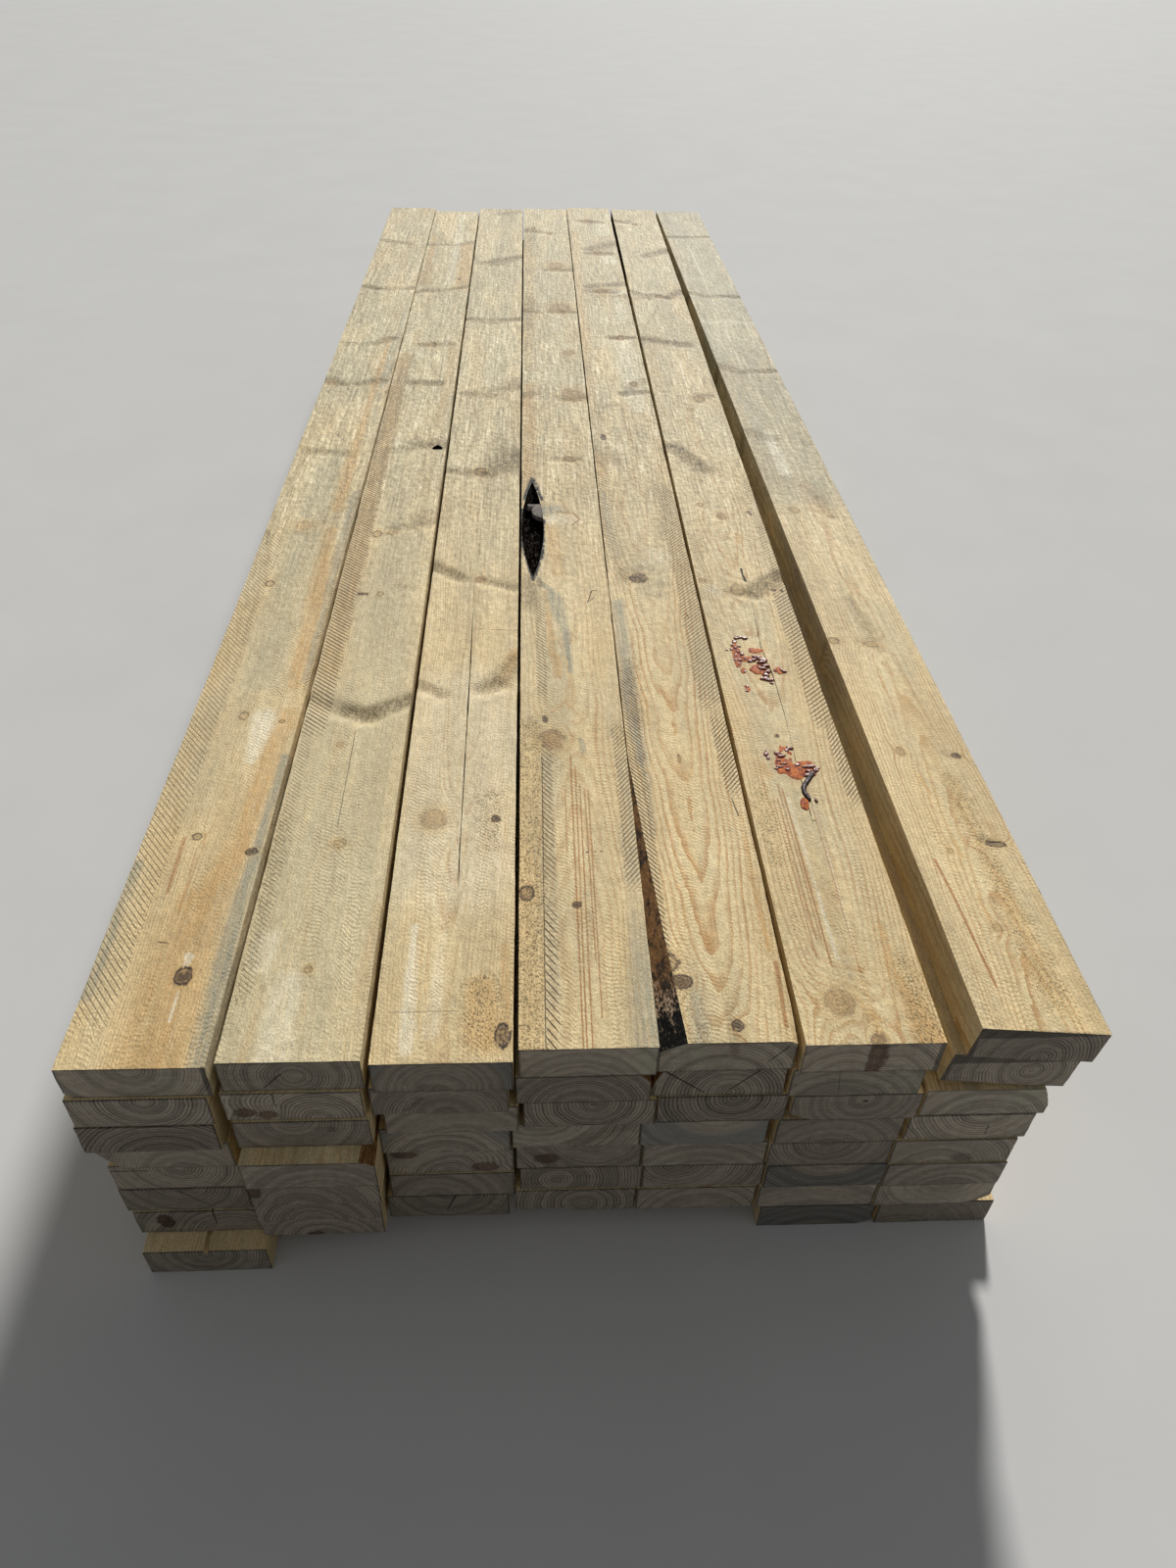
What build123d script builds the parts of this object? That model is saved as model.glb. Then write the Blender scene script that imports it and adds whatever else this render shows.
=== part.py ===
from build123d import *
import math
import os

# Stack of rough-sawn softwood planks: eight tiers of seven planks, laid flat and tight, all one way.
# Millimetres. X runs across the stack, Y along the planks with the front ends towards -Y, Z is up.
# The origin is the middle of the stack's underside. Places count from the left, tiers from the ground.

# One plank as it leaves the saw
plank_width = 150.0
plank_thickness = 50.0
plank_length = 3600.0

# The stack
tier_count = 8
place_count = 7
top_tier = tier_count

# Each tier from the ground up: how far its first plank stands in from the left-hand line of the
# stack, the gaps that follow its planks, and how far each front end stands forward of the face.
tier_layout = [
    {"inset": 19, "gaps": (4, 4, 4, 4, 4, 6), "forward": (35, -46, -58, -50, -54, -4, -4)},
    {"inset": 12, "gaps": (1, 4, 8, 2, 5, 1), "forward": (9, 17, -3, -6, -5, -4, -2)},
    {"inset": 7, "gaps": (8, 9, 7, 1, 2, 0), "forward": (7, 24, -3, -8, -7, -3, -1)},
    {"inset": 7, "gaps": (12, 5, 3, 2, 2, 2), "forward": (6, 31, -5, -8, -7, -4, -3)},
    {"inset": 5, "gaps": (16, 0, 2, 0, 11, 7), "forward": (9, 38, -3, -6, -5, -4, -5)},
    {"inset": 0, "gaps": (18, 13, 6, 2, 5, 5), "forward": (18, 16, 3, -2, -5, -3, -6)},
    {"inset": 2, "gaps": (12, 7, 8, 1, 6, 22), "forward": (17, 13, 10, -1, -7, -3, -9)},
    {"inset": 5, "gaps": (9, 9, 6, 1, 7, 25), "forward": (13, 9, 14, -1, -5, 0, -7)},
]

# The top tier shows how sawn planks differ: cut full width, cut short or long, laid askew, crooked
top_extra_width = (4, 0, 0, 0, 0, 4, 0)
top_extra_length = (-10, -50, 0, 0, 20, 15, -15)
top_far_drift = (8, 2, -2, -3, -1, 2, -15)
top_crook = (3, 1, 0, -1, 0, -3, 0)

# Lower tiers differ at their far ends only, each tier starting one step further along this list
far_end_differences = (0, -6, 4, -10, 7, -3, 11, -14, 5)

# Wane is the log's own round left on a corner: how far it reaches in across the face and down the
# side at the front end, and how far back it runs out. The log grows towards its butt.
log_radius = 130.0
wanes = [
    {"plank": (8, 1), "corner": ("left", "bottom"), "across": 7, "down": 9, "run_out": 300},
    {"plank": (8, 5), "corner": ("left", "top"), "across": 30, "down": 15, "run_out": 480},
    {"plank": (8, 5), "corner": ("right", "top"), "across": 7, "down": 5, "run_out": 40},
    {"plank": (7, 4), "corner": ("right", "top"), "across": 14, "down": 16, "run_out": 500},
    {"plank": (7, 5), "corner": ("left", "top"), "across": 14, "down": 38, "run_out": 700},
    {"plank": (6, 6), "corner": ("left", "bottom"), "across": 27, "down": 14, "run_out": 600},
    {"plank": (6, 7), "corner": ("right", "top"), "across": 12, "down": 34, "run_out": 900},
    {"plank": (5, 1), "corner": ("left", "bottom"), "across": 22, "down": 34, "run_out": 1100},
    {"plank": (5, 2), "corner": ("right", "top"), "across": 18, "down": 7, "run_out": 400},
    {"plank": (4, 6), "corner": ("left", "bottom"), "across": 6, "down": 8, "run_out": 300},
    {"plank": (2, 7), "corner": ("right", "bottom"), "across": 27, "down": 20, "run_out": 800},
    {"plank": (1, 6), "corner": ("right", "bottom"), "across": 21, "down": 10, "run_out": 500},
]

# Two planks on top of the right-hand column are twisted: their left sides lift towards the front,
# and they turn about the upper right corner of the plank that carries them. Each lies its seat
# clearance above the one below.
twisted_place = 7
twisted_tiers = (7, 8)
front_twist = 6.5
twist_stations = 7
twisted_seat_clearance = 0.3
lower_twisted_drift = -9

# Bark pocket in the middle plank of the top tier, a pointed hollow that a branch stub reaches into
pocket_plank = (8, 4)
pocket_from_front = 985.0
pocket_length = 385.0
pocket_width = 42.0
pocket_depth = 18.0
pocket_end_depth = 4.0
pocket_from_side = 20.0
stub_radius = 12.0
stub_below_face = 1.5
stub_reach = 30.0
stub_from_front = 1270.0

# Fallen-out knot at the right side of the second plank in the top tier
knot_plank = (8, 2)
knot_from_front = 1545.0
knot_from_right = 17.0
knot_radius = 12.0
knot_depth = 9.0

# Heart check: an open crack along the upper face of the plank at the lower left
check_plank = (1, 1)
check_from_side = 76.0
check_width = 5.0
check_depth = 6.0
check_length = 420.0

# Drying cracks in upper faces of the top tier: the points that each runs through, across its plank
# and back from its front end, its width at the surface and its depth. They end in points.
drying_cracks = {
    (8, 3): {"points": ((82, 195), (80, 320), (79, 470), (77, 740), (74, 975)), "width": 2.4, "depth": 14},
    (8, 6): {"points": ((78, 350), (79, 470), (83, 590), (83, 690), (77, 770), (87, 960)), "width": 2.0, "depth": 10},
}

# Torn dip: the saw tore a shallow hollow out of the upper face at this plank's front end
dip_plank = (7, 3)
dip_from_side = 64.0
dip_radius = 40.0
dip_depth = 3.5
dip_length = 120.0

# Saw step: the band jumped where it entered the underside of this plank
step_plank = (2, 4)
step_width = 72.0
step_depth = 5.0
step_length = 260.0

# Cutters reach this far past the face that they enter by
overrun = 5.0

LOWER_CORNER = (Align.MIN, Align.MIN, Align.MIN)


def along_y(shape):
    """Turn a shape made along Z so that it runs along Y."""
    return Rot(-90, 0, 0) * shape


def sawn_blank(width, length, crook):
    """A plank with its lower front left corner at the origin, bent sideways by its crook."""
    if crook == 0:
        return Box(width, length, plank_thickness, align=LOWER_CORNER)
    left = ThreePointArc((0, length), (crook, length / 2), (0, 0))
    right = ThreePointArc((width, 0), (width + crook, length / 2), (width, length))
    outline = left + Line((0, 0), (width, 0)) + right + Line((width, length), (0, length))
    return extrude(make_face(outline), amount=plank_thickness)


def twisted_blank(width, length, pivot_x, pivot_z):
    """A plank whose sections turn about one line, most at the front and not at all at the back."""
    sections = []
    for station in range(twist_stations):
        back = station / (twist_stations - 1)
        turn = Pos(pivot_x, back * length, pivot_z) * Rot(0, front_twist * (1 - back), 0)
        frame = Plane(turn) * Pos(-pivot_x, 0, -pivot_z)
        corners = [(0, 0, 0), (width, 0, 0), (width, 0, plank_thickness), (0, 0, plank_thickness)]
        placed = [(frame * Pos(*corner)).position for corner in corners]
        sections.append(make_face(Polyline(*placed, close=True)))
    return loft(sections, ruled=True)


def wane_cutter(plank_x, wane):
    """What lies outside the log's round at one corner of a plank, back to where the round runs out."""
    side, level = wane["corner"]
    across, down, run_out = wane["across"], wane["down"], wane["run_out"]
    inward = 1 if side == "left" else -1
    downward = -1 if level == "top" else 1
    corner_x = 0 if side == "left" else plank_x
    corner_z = plank_thickness if level == "top" else 0
    chord = math.hypot(across, down)
    rise = math.sqrt(log_radius ** 2 - (chord / 2) ** 2)
    centre_in = across / 2 + rise * down / chord
    centre_down = down / 2 + rise * across / chord
    growth = (math.hypot(centre_in, centre_down) - log_radius) / run_out
    front = -overrun
    log = Cone(log_radius + growth * front, log_radius + growth * run_out, run_out - front,
               align=(Align.CENTER, Align.CENTER, Align.MIN))
    log = Pos(corner_x + inward * centre_in, front, corner_z + downward * centre_down) * along_y(log)
    block = Box(across + overrun, run_out - front, down + overrun)
    block_x = corner_x + inward * (across - overrun) / 2
    block_z = corner_z + downward * (down - overrun) / 2
    return Pos(block_x, (run_out + front) / 2, block_z) * block - log


def cut_bark_pocket(plank):
    """Hollow out the pointed bark pocket and leave the branch stub standing in it."""
    half = pocket_length / 2
    reach = pocket_width / 2
    lens = ThreePointArc((0, half), (reach, 0), (0, -half)) + ThreePointArc((0, -half), (-reach, 0), (0, half))
    walls = extrude(make_face(lens), amount=pocket_depth + overrun, both=True)
    sag = pocket_depth - pocket_end_depth
    bed_radius = (half ** 2 + sag ** 2) / (2 * sag)
    bed = Pos(0, 0, bed_radius - pocket_depth) * Rot(0, 90, 0) * Cylinder(bed_radius, 2 * pocket_width)
    hollow = Pos(pocket_from_side, pocket_from_front + half, plank_thickness) * (walls & bed)
    branch = Rot(0, 90, 0) * Cylinder(stub_radius, stub_reach)
    branch_x = pocket_from_side + reach - stub_reach / 2
    branch_z = plank_thickness - stub_below_face - stub_radius
    branch = Pos(branch_x, stub_from_front, branch_z) * branch
    return plank - hollow + branch


def cut_fallen_knot(plank, width):
    """Leave the round seat of a knot that fell out of the upper face."""
    seat = Cylinder(knot_radius, knot_depth + overrun, align=(Align.CENTER, Align.CENTER, Align.MIN))
    return plank - Pos(width - knot_from_right, knot_from_front, plank_thickness - knot_depth) * seat


def cut_drying_crack(plank, crack):
    """Open one long crack: a wedge between its two lips, which meet at both of its ends."""
    first, *middle, last = crack["points"]
    half = crack["width"] / 2
    left_lip = [(x - half, y) for x, y in middle]
    right_lip = [(x + half, y) for x, y in reversed(middle)]
    mouth = make_face(Polyline(first, *left_lip, last, *right_lip, close=True))
    flare = math.degrees(math.atan(half / crack["depth"])) / 2
    wedge = extrude(mouth, amount=-crack["depth"], taper=flare)
    return plank - Pos(0, 0, plank_thickness) * (wedge + extrude(mouth, amount=overrun))


def cut_torn_dip(plank):
    """Hollow the upper face at the front end, less and less towards the back."""
    run_out = dip_length + overrun
    cone_slope = dip_depth / dip_length
    hollow = Cone(dip_radius + cone_slope * overrun, dip_radius - dip_depth, run_out,
                  align=(Align.CENTER, Align.CENTER, Align.MIN))
    dip_z = plank_thickness + dip_radius - dip_depth
    return plank - Pos(dip_from_side, -overrun, dip_z) * along_y(hollow)


def cut_heart_check(plank):
    """Open the crack that runs back from the front end along the upper face."""
    crack = Box(check_width, check_length + overrun, check_depth + overrun, align=LOWER_CORNER)
    crack_x = check_from_side - check_width / 2
    return plank - Pos(crack_x, -overrun, plank_thickness - check_depth) * crack


def cut_saw_step(plank):
    """Take away the thin slice that the saw took twice at the front of the underside."""
    slice_cut = Box(step_width + overrun, step_length + overrun, step_depth + overrun, align=LOWER_CORNER)
    return plank - Pos(-overrun, -overrun, -overrun) * slice_cut


def plank_size(tier, place):
    """Width, length, far-end drift and crook of the plank at one place."""
    if tier == top_tier:
        width = plank_width + top_extra_width[place - 1]
        length = plank_length + top_extra_length[place - 1]
        return width, length, top_far_drift[place - 1], top_crook[place - 1]
    step = (tier + place * 2) % len(far_end_differences)
    drift = lower_twisted_drift if is_twisted(tier, place) else 0
    return plank_width, plank_length + far_end_differences[step], drift, 0


def is_twisted(tier, place):
    return place == twisted_place and tier in twisted_tiers


def left_side(tier, place):
    """X of a plank's left side at its front end, counted from the left-hand line of the stack."""
    layout = tier_layout[tier - 1]
    x = layout["inset"]
    for before in range(1, place):
        x += plank_size(tier, before)[0] + layout["gaps"][before - 1]
    return x


def make_plank(tier, place):
    """One plank where it lies in the stack."""
    width, length, drift, crook = plank_size(tier, place)
    x = left_side(tier, place)
    y = -tier_layout[tier - 1]["forward"][place - 1]
    z = (tier - 1) * plank_thickness
    if is_twisted(tier, place):
        carrier = min(twisted_tiers) - 1
        pivot_x = left_side(carrier, place) + plank_size(carrier, place)[0]
        z += (tier - carrier) * twisted_seat_clearance
        plank = twisted_blank(width, length, pivot_x - x, carrier * plank_thickness - z)
    else:
        plank = sawn_blank(width, length, crook)
    for wane in wanes:
        if wane["plank"] == (tier, place):
            plank = plank - wane_cutter(width, wane)
    if (tier, place) in drying_cracks:
        plank = cut_drying_crack(plank, drying_cracks[tier, place])
    if (tier, place) == dip_plank:
        plank = cut_torn_dip(plank)
    if (tier, place) == pocket_plank:
        plank = cut_bark_pocket(plank)
    if (tier, place) == knot_plank:
        plank = cut_fallen_knot(plank, width)
    if (tier, place) == check_plank:
        plank = cut_heart_check(plank)
    if (tier, place) == step_plank:
        plank = cut_saw_step(plank)
    askew = -math.degrees(math.atan2(drift, length))
    return Pos(x, y, z) * Rot(0, 0, askew) * plank


def make_stack():
    """Every plank by name, with the middle of the stack's underside at the origin."""
    planks = {}
    for tier in range(1, tier_count + 1):
        for place in range(1, place_count + 1):
            planks[f"plank_tier{tier}_{place}"] = make_plank(tier, place)
    boxes = [plank.bounding_box() for plank in planks.values()]
    middle_x = (min(box.min.X for box in boxes) + max(box.max.X for box in boxes)) / 2
    middle_y = (min(box.min.Y for box in boxes) + max(box.max.Y for box in boxes)) / 2
    to_origin = Pos(-middle_x, -middle_y, 0)
    return {name: to_origin * plank for name, plank in planks.items()}


os.makedirs("parts", exist_ok=True)
for name, plank in make_stack().items():
    export_step(plank, f"parts/{name}.step")
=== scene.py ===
"""Finishes the stack of rough-sawn planks: wood, bark and resin, and the floor, lights and camera."""

import math
import random

import bmesh
import bpy
from bpy.props import FloatProperty, FloatVectorProperty, IntProperty, PointerProperty
from mathutils import Matrix, Vector


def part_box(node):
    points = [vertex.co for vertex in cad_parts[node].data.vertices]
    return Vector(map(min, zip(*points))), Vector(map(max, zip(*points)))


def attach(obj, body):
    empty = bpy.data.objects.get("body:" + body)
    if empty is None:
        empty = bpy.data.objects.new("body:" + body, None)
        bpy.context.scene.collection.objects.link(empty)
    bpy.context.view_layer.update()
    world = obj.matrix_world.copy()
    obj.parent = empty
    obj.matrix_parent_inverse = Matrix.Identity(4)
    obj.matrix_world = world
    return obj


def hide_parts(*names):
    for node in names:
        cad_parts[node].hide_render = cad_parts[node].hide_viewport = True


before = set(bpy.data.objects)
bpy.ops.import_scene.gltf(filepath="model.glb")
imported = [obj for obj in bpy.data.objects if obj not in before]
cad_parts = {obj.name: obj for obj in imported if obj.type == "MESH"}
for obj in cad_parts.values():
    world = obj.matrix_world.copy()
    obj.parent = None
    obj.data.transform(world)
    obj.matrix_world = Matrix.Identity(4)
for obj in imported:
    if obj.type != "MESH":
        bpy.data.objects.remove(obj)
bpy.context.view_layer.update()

bl_info = {
    "name": "Stack of rough-sawn planks",
    "version": (1, 2, 0),
    "blender": (4, 5, 0),
    "location": "3D View > Sidebar > Planks",
    "description": "Finishes a stack of planks with saw marks, grain, knots, stains, bark and resin",
    "category": "Object",
}

MM = 0.001
PLACES = 7
TOP_TIER = 8
PLANK_THICKNESS = 0.05
PLANK_WIDTH = 0.15

# How finely the planks' meshes are cut, in metres: columns across, rows up, cuts near the front end, and
# how near two corners are when they merge
LOWER_COLUMN = 0.025
TOP_COLUMN = 0.02
ROW = 0.0166
LOWER_FRONT_CUTS = (0.012, 0.03)
TOP_FRONT_CUTS = (0.012,)
MERGE_DISTANCE = 0.02 * MM

# How much of a drying split's width stays open
SPLIT_SHARE = 0.5

# Where a top plank's front material meets its back material, and how far the two reach past the ends,
# in millimetres back from the front end
SEAM = 1300
BEFORE_FRONT_END = -50
BEHIND_BACK_END = 3700

# The front of the top tier is fresh and the back is weathered, with painted sheen, highlights and shade of
# light glancing along it: from here to there it changes, in millimetres back from the front end
FRESH_TO = 500.0
WEATHERED_AND_SHEEN_FROM = 1600.0

# A streak whose half width is below this, in millimetres, is drawn with a crisp edge
FINE_STREAK = 2.6

# Distance from the pith, in millimetres, that no end reaches, for an end without blue-stained sapwood
NO_SAPWOOD = 900

# Knots, in millimetres: how far one on an end goes in, and where one on an upper face is and reaches to,
# so that it shows alike down the plank's side
END_KNOT_DEPTH = 26
KNOT_HEIGHT = 50
KNOT_REACH = 300

# Planks of the top tier that have something of their own, by place from the left
FALLEN_KNOT_PLACE = 2
SPLIT_PLACES = (3, 6)
POCKET_PLACE = 4
WANE_PLACE = 5
RESIN_PLACE = 6

# The lower twisted plank has no wane, and another lower plank has a torn dip at its front end
TWISTED_PLANK = (7, 7)
DIP_PLANK = (7, 3)
DIP_LENGTH = 90 * MM

# The sawn end of the dead branch, in millimetres: its middle across and back, its half sizes, and how
# far it lies below the plank's face
BRANCH_MIDDLE = (43, 1246)
BRANCH_HALF_SIZES = (25, 31, 5)
BRANCH_BELOW_FACE = 0.6

# Its edge, and the size and height of its torn fibres
BRANCH_EDGE = 1.5 * MM
BRANCH_TEAR_SIZE = 8 * MM
BRANCH_TEAR_HEIGHT = 1.6 * MM

# The stub under it, as the CAD cut it: how far back, its radius, and how far down it is bare wood
STUB_BACK = 1270 * MM
STUB_RADIUS = 12.2 * MM
STUB_DEPTH = 8 * MM

# How far the faces of the CAD's cuts stay from a plank's sides, from its ends and bottom, and from its top
CUT_FROM_SIDE = 3 * MM
CUT_FROM_END = 10 * MM
CUT_FROM_TOP = 0.5 * MM

# How far a drying split stays from the plank's sides, and how far the wane can reach in from the left
SPLIT_FROM_SIDE = 20 * MM
WANE_WIDTH = 60 * MM

# What a hollow's line takes hold of: this far to its sides, and this far up or down from the face
DIP_SIDE = 5 * MM
DIP_HEIGHT = 4 * MM


def linear(red, green, blue):
    """A colour given as it shows on a screen, 0 to 255, as the linear values that shaders take."""
    channels = []
    for value in (red, green, blue):
        share = value / 255
        channels.append(share / 12.92 if share <= 0.04045 else ((share + 0.055) / 1.055) ** 2.4)
    return tuple(channels)


# What shows on the upper faces of the top tier, one entry a plank from the left. Places are millimetres
# across from the plank's left side and back from its front end.
# grain: spacing of the rings, how fast the pith leaves the face towards the back, strength of the rings,
# and of the warm patches
# knots: across, back, half width, half length, how sound (brown fill), how dark (rim and heart)
# orange, line, blue, grey, pale, shade, black, pits, crack: across and back of both ends of a streak, half
# width at each end, strength. line is one dark ring line, shade the dark wood beside a whorl and the
# painted shade on the slope of its hollow, pale paler wood and scrapes and the painted highlights on the
# rims of whorls' hollows, black the bark at a pocket's edge, pits torn wood, crack the painted shade
# inside a crack.
# dips: across and back of both ends of the hollow that a whorl leaves, half width, depth
# ticks: edge ("left" or "right"), slope, from, to, spacing, start inwards, width, strength
TOP_PLANKS = {
    1: {
        "grain": {"Ring width": 3.6, "Lean": -0.02, "Contrast": 0.75, "Warm": 0.3},
        "knots": [
            (104, 122, 9, 12, 0.5, 1.0), (67, 348, 6, 6, 0.3, 0.85), (141, 320, 7, 6, 0.3, 1.0),
            (75, 603, 6, 9, 0.2, 0.55), (132, 590, 4, 4, 0.6, 0.8), (44, 979, 8, 9, 0.3, 0.8),
            (70, 1192, 15, 17, 0.5, 0.1), (19, 1910, 8, 14, 0.4, 0.4), (122, 1915, 8, 14, 0.4, 0.4),
        ],
        "orange": [
            (94, -10, 98, 235, 36, 30, 0.75), (104, 235, 122, 330, 24, 16, 0.75),
            (124, 330, 133, 570, 14, 12, 0.8), (136, 575, 136, 608, 15, 15, 0.75),
            (136, 680, 131, 900, 11, 13, 0.8), (131, 900, 119, 1176, 14, 12, 0.8),
            (121, 1258, 121, 1500, 13, 13, 0.7), (121, 1500, 126, 2250, 12, 3, 0.65),
            (124, 50, 118, 0, 6, 8, 0.4), (118, 2200, 112, 2220, 8, 8, 0.6),
            (104, 1176, 132, 1178, 3, 3, 0.5),
        ],
        "line": [(52, 345, 54, 250, 2.5, 2.5, 0.7)],
        "blue": [
            (146, -10, 144, 250, 11, 9, 0.85), (146, 250, 150, 510, 9, 6, 0.85),
            (5, 95, 6, 300, 8, 7, 0.75), (148, 690, 146, 1330, 5, 7, 0.6),
            (143, 1900, 146, 2250, 11, 10, 0.7), (146, 2250, 147, 2600, 8, 2, 0.6),
        ],
        "grey": [
            (84, 690, 80, 1160, 28, 30, 0.8), (76, 1225, 78, 1500, 28, 26, 0.8),
            (60, 1950, 66, 2600, 34, 34, 0.5),
        ],
        "pale": [
            (106, 600, 105, 500, 18, 8, 0.75), (104, 150, 104, 138, 5, 4, 0.9),
            (104, 100, 104, 60, 1.5, 2, 0.7),
        ],
        "shade": [
            (8, 3160, 60, 3130, 16, 21, 0.62), (60, 3130, 95, 3125, 18, 16, 0.52),
            (5, 2668, 45, 2648, 14, 14, 0.83), (45, 2648, 95, 2638, 14, 14, 0.72),
            (95, 2638, 150, 2658, 14, 14, 0.72), (30, 2182, 80, 2180, 14, 14, 0.52),
            (92, 2188, 126, 2222, 16, 19, 0.72), (5, 1926, 45, 1902, 18, 16, 0.78),
            (85, 1905, 135, 1928, 16, 19, 0.72), (25, 1520, 105, 1512, 16, 14, 0.62),
            (8, 1170, 11, 1120, 3.9, 3.9, 0.63), (60, 1163, 78, 1160, 6.5, 6.5, 0.45),
        ],
        "crack": [(64, 171, 73, 170, 1.2, 1.0, 0.5)],
        "dips": [
            (5, 2668, 45, 2648, 22, 2.2), (45, 2648, 150, 2650, 22, 2), (5, 1926, 45, 1902, 22, 2.7),
            (85, 1905, 135, 1928, 22, 2.5), (10, 3160, 95, 3125, 24, 2.4), (90, 2185, 130, 2222, 20, 2.2),
            (25, 1520, 105, 1512, 20, 2),
        ],
        "ticks": [('left', 1.3, 60, 1150, 10, 1, 42, 0.5), ('right', 1.3, 660, 1350, 8, 0, 15, 0.8)],
    },
    2: {
        "grain": {"Ring width": 3.4, "Lean": 0.008, "Contrast": 0.5, "Warm": 0.12},
        "knots": [
            (86, 328, 8, 8, 0.35, 0.35), (78, 124, 5, 6, 0.6, 0.3), (60, 530, 5, 6, 0.3, 0.3),
            (45, 941, 8, 4, 0.6, 1.0), (74, 941, 5, 7, 0.2, 0.6), (46, 1156, 8, 12, 0.5, 0.6),
            (73, 1162, 9, 9, 0.7, 0.4), (121, 2745, 4, 9, 0.8, 1.0), (78, 2178, 10, 14, 0.4, 0.4),
        ],
        "orange": [
            (33, 100, 29, 0, 3, 6, 0.75), (146, 220, 138, 80, 5, 8, 0.5),
            (20, 620, 16, 2100, 17, 16, 0.55), (20, 2700, 16, 3250, 18, 6, 0.6),
            (130, 2650, 128, 3120, 18, 22, 0.6), (130, 1700, 134, 2150, 10, 10, 0.4),
        ],
        "grey": [
            (75, -60, 75, 620, 80, 80, 0.7), (96, 640, 96, 1130, 46, 42, 0.6),
            (70, 1200, 74, 1560, 26, 30, 0.7), (66, 1950, 70, 3000, 20, 22, 0.5),
        ],
        "pale": [
            (58, 105, 58, 0, 16, 18, 0.45), (26, 170, 24, 130, 14, 12, 0.4),
            (94, 2700, 96, 3500, 10, 12, 0.5),
        ],
        "shade": [
            (0, 645, 60, 610, 6.5, 11.7, 0.45), (60, 612, 88, 600, 13, 15.6, 0.72),
            (88, 600, 152, 642, 18.2, 13, 0.77), (118, 1212, 150, 1235, 23.4, 31.2, 0.45),
            (66, 1180, 112, 1172, 10.4, 15.6, 0.36), (95, 968, 130, 966, 6.5, 7.8, 0.41),
            (95, 1560, 150, 1556, 28, 25, 0.68), (46, 1530, 82, 1540, 16, 16, 0.52),
            (52, 1912, 108, 1908, 21, 19, 0.78), (52, 2172, 122, 2184, 16, 18, 0.68),
            (5, 2612, 32, 2642, 14, 14, 0.72), (44, 2632, 95, 2634, 18, 16, 0.62),
            (100, 2650, 150, 2682, 12, 12, 0.62), (55, 3116, 95, 3112, 14, 14, 0.62),
            (98, 3116, 150, 3152, 14, 14, 0.62), (0, 3112, 28, 3112, 16, 16, 0.72),
        ],
        "pits": [(8, 400, 8, 80, 8, 8, 0.5)],
        "crack": [(78, 560, 79, 360, 0.5, 0.4, 0.5)],
        "dips": [
            (0, 640, 60, 606, 24, 2.7), (60, 606, 92, 592, 24, 3.7), (92, 592, 152, 636, 24, 4.1),
            (72, 1172, 152, 1192, 20, 2.4), (50, 1910, 110, 1908, 22, 2.7),
            (50, 2172, 122, 2184, 20, 2.2), (5, 2612, 150, 2660, 20, 2), (50, 3114, 150, 3140, 20, 2),
            (100, 1545, 150, 1548, 18, 2.7),
        ],
        "ticks": [('left', 0.9, 560, 2100, 9, 2, 36, 1.0), ('left', 0.9, 90, 560, 7, 4, 20, 0.28)],
    },
    3: {
        "grain": {"Ring width": 3.2, "Lean": -0.012, "Contrast": 0.6, "Warm": 0.15},
        "knots": [
            (43, 378, 16, 18, 0.55, 0.22), (124, 378, 5, 6, 0.6, 1.0), (139, 34, 8, 14, 0.6, 1.0),
            (84, 997, 8, 8, 0.8, 0.3), (70, 1432, 12, 14, 0.6, 0.6),
        ],
        "orange": [
            (114, 100, 120, 30, 14, 18, 0.7), (140, 160, 142, 50, 5, 6, 0.6),
            (128, 690, 144, 770, 10, 8, 0.7), (140, 740, 138, 600, 5, 3, 0.5),
            (10, 680, 30, 662, 8, 6, 0.5), (20, 1040, 26, 1036, 14, 12, 0.3),
            (82, 560, 84, 500, 2, 4, 0.4), (100, 3560, 150, 3565, 14, 12, 0.5),
        ],
        "grey": [(60, 2400, 70, 3400, 50, 55, 0.4), (110, 1080, 116, 1350, 30, 34, 0.35)],
        "pale": [
            (75, 290, 75, 640, 80, 80, 0.4), (33, 190, 37, 20, 5, 8, 0.7), (68, 230, 62, 40, 3, 10, 0.35),
            (90, 260, 60, 255, 4, 4, 0.4),
        ],
        "shade": [
            (-4, 1050, 46, 1006, 14.3, 11.7, 0.77), (56, 998, 74, 994, 9.1, 7.8, 0.45),
            (90, 994, 145, 966, 7.8, 9.1, 0.68), (100, 676, 120, 690, 13, 19.5, 0.54),
            (120, 690, 150, 748, 18.2, 18.2, 0.5), (0, 684, 36, 658, 10.4, 9.1, 0.5),
            (0, 1436, 60, 1422, 14, 21, 0.62), (82, 1420, 150, 1506, 28, 46, 0.68),
            (28, 1852, 84, 1846, 16, 19, 0.89), (85, 1850, 148, 1926, 21, 32, 0.62),
            (4, 2388, 74, 2368, 18, 18, 0.78), (74, 2368, 146, 2398, 21, 18, 0.72),
            (30, 2922, 62, 2924, 21, 25, 0.62), (62, 2930, 150, 3000, 35, 28, 0.83),
            (74, 3530, 150, 3568, 21, 21, 0.62),
        ],
        "pits": [
            (116, 100, 118, 36, 18, 20, 0.9), (116, 420, 118, 330, 18, 14, 0.6),
            (112, 672, 146, 750, 12, 14, 0.9),
        ],
        "crack": [(15, 67, 90, 67, 0.4, 0.4, 0.5), (86, 836, 150, 832, 0.5, 0.7, 0.6)],
        "dips": [
            (0, 1034, 50, 996, 20, 2.7), (88, 992, 150, 962, 20, 2.7), (98, 664, 124, 680, 22, 3.2),
            (124, 680, 152, 742, 22, 3.2), (0, 676, 38, 652, 18, 2.2), (0, 1432, 84, 1414, 22, 2.5),
            (84, 1414, 152, 1496, 24, 3.1), (28, 1850, 150, 1890, 22, 2.4), (4, 2386, 148, 2384, 20, 2.5),
            (30, 2920, 150, 2985, 26, 2.5),
        ],
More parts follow.
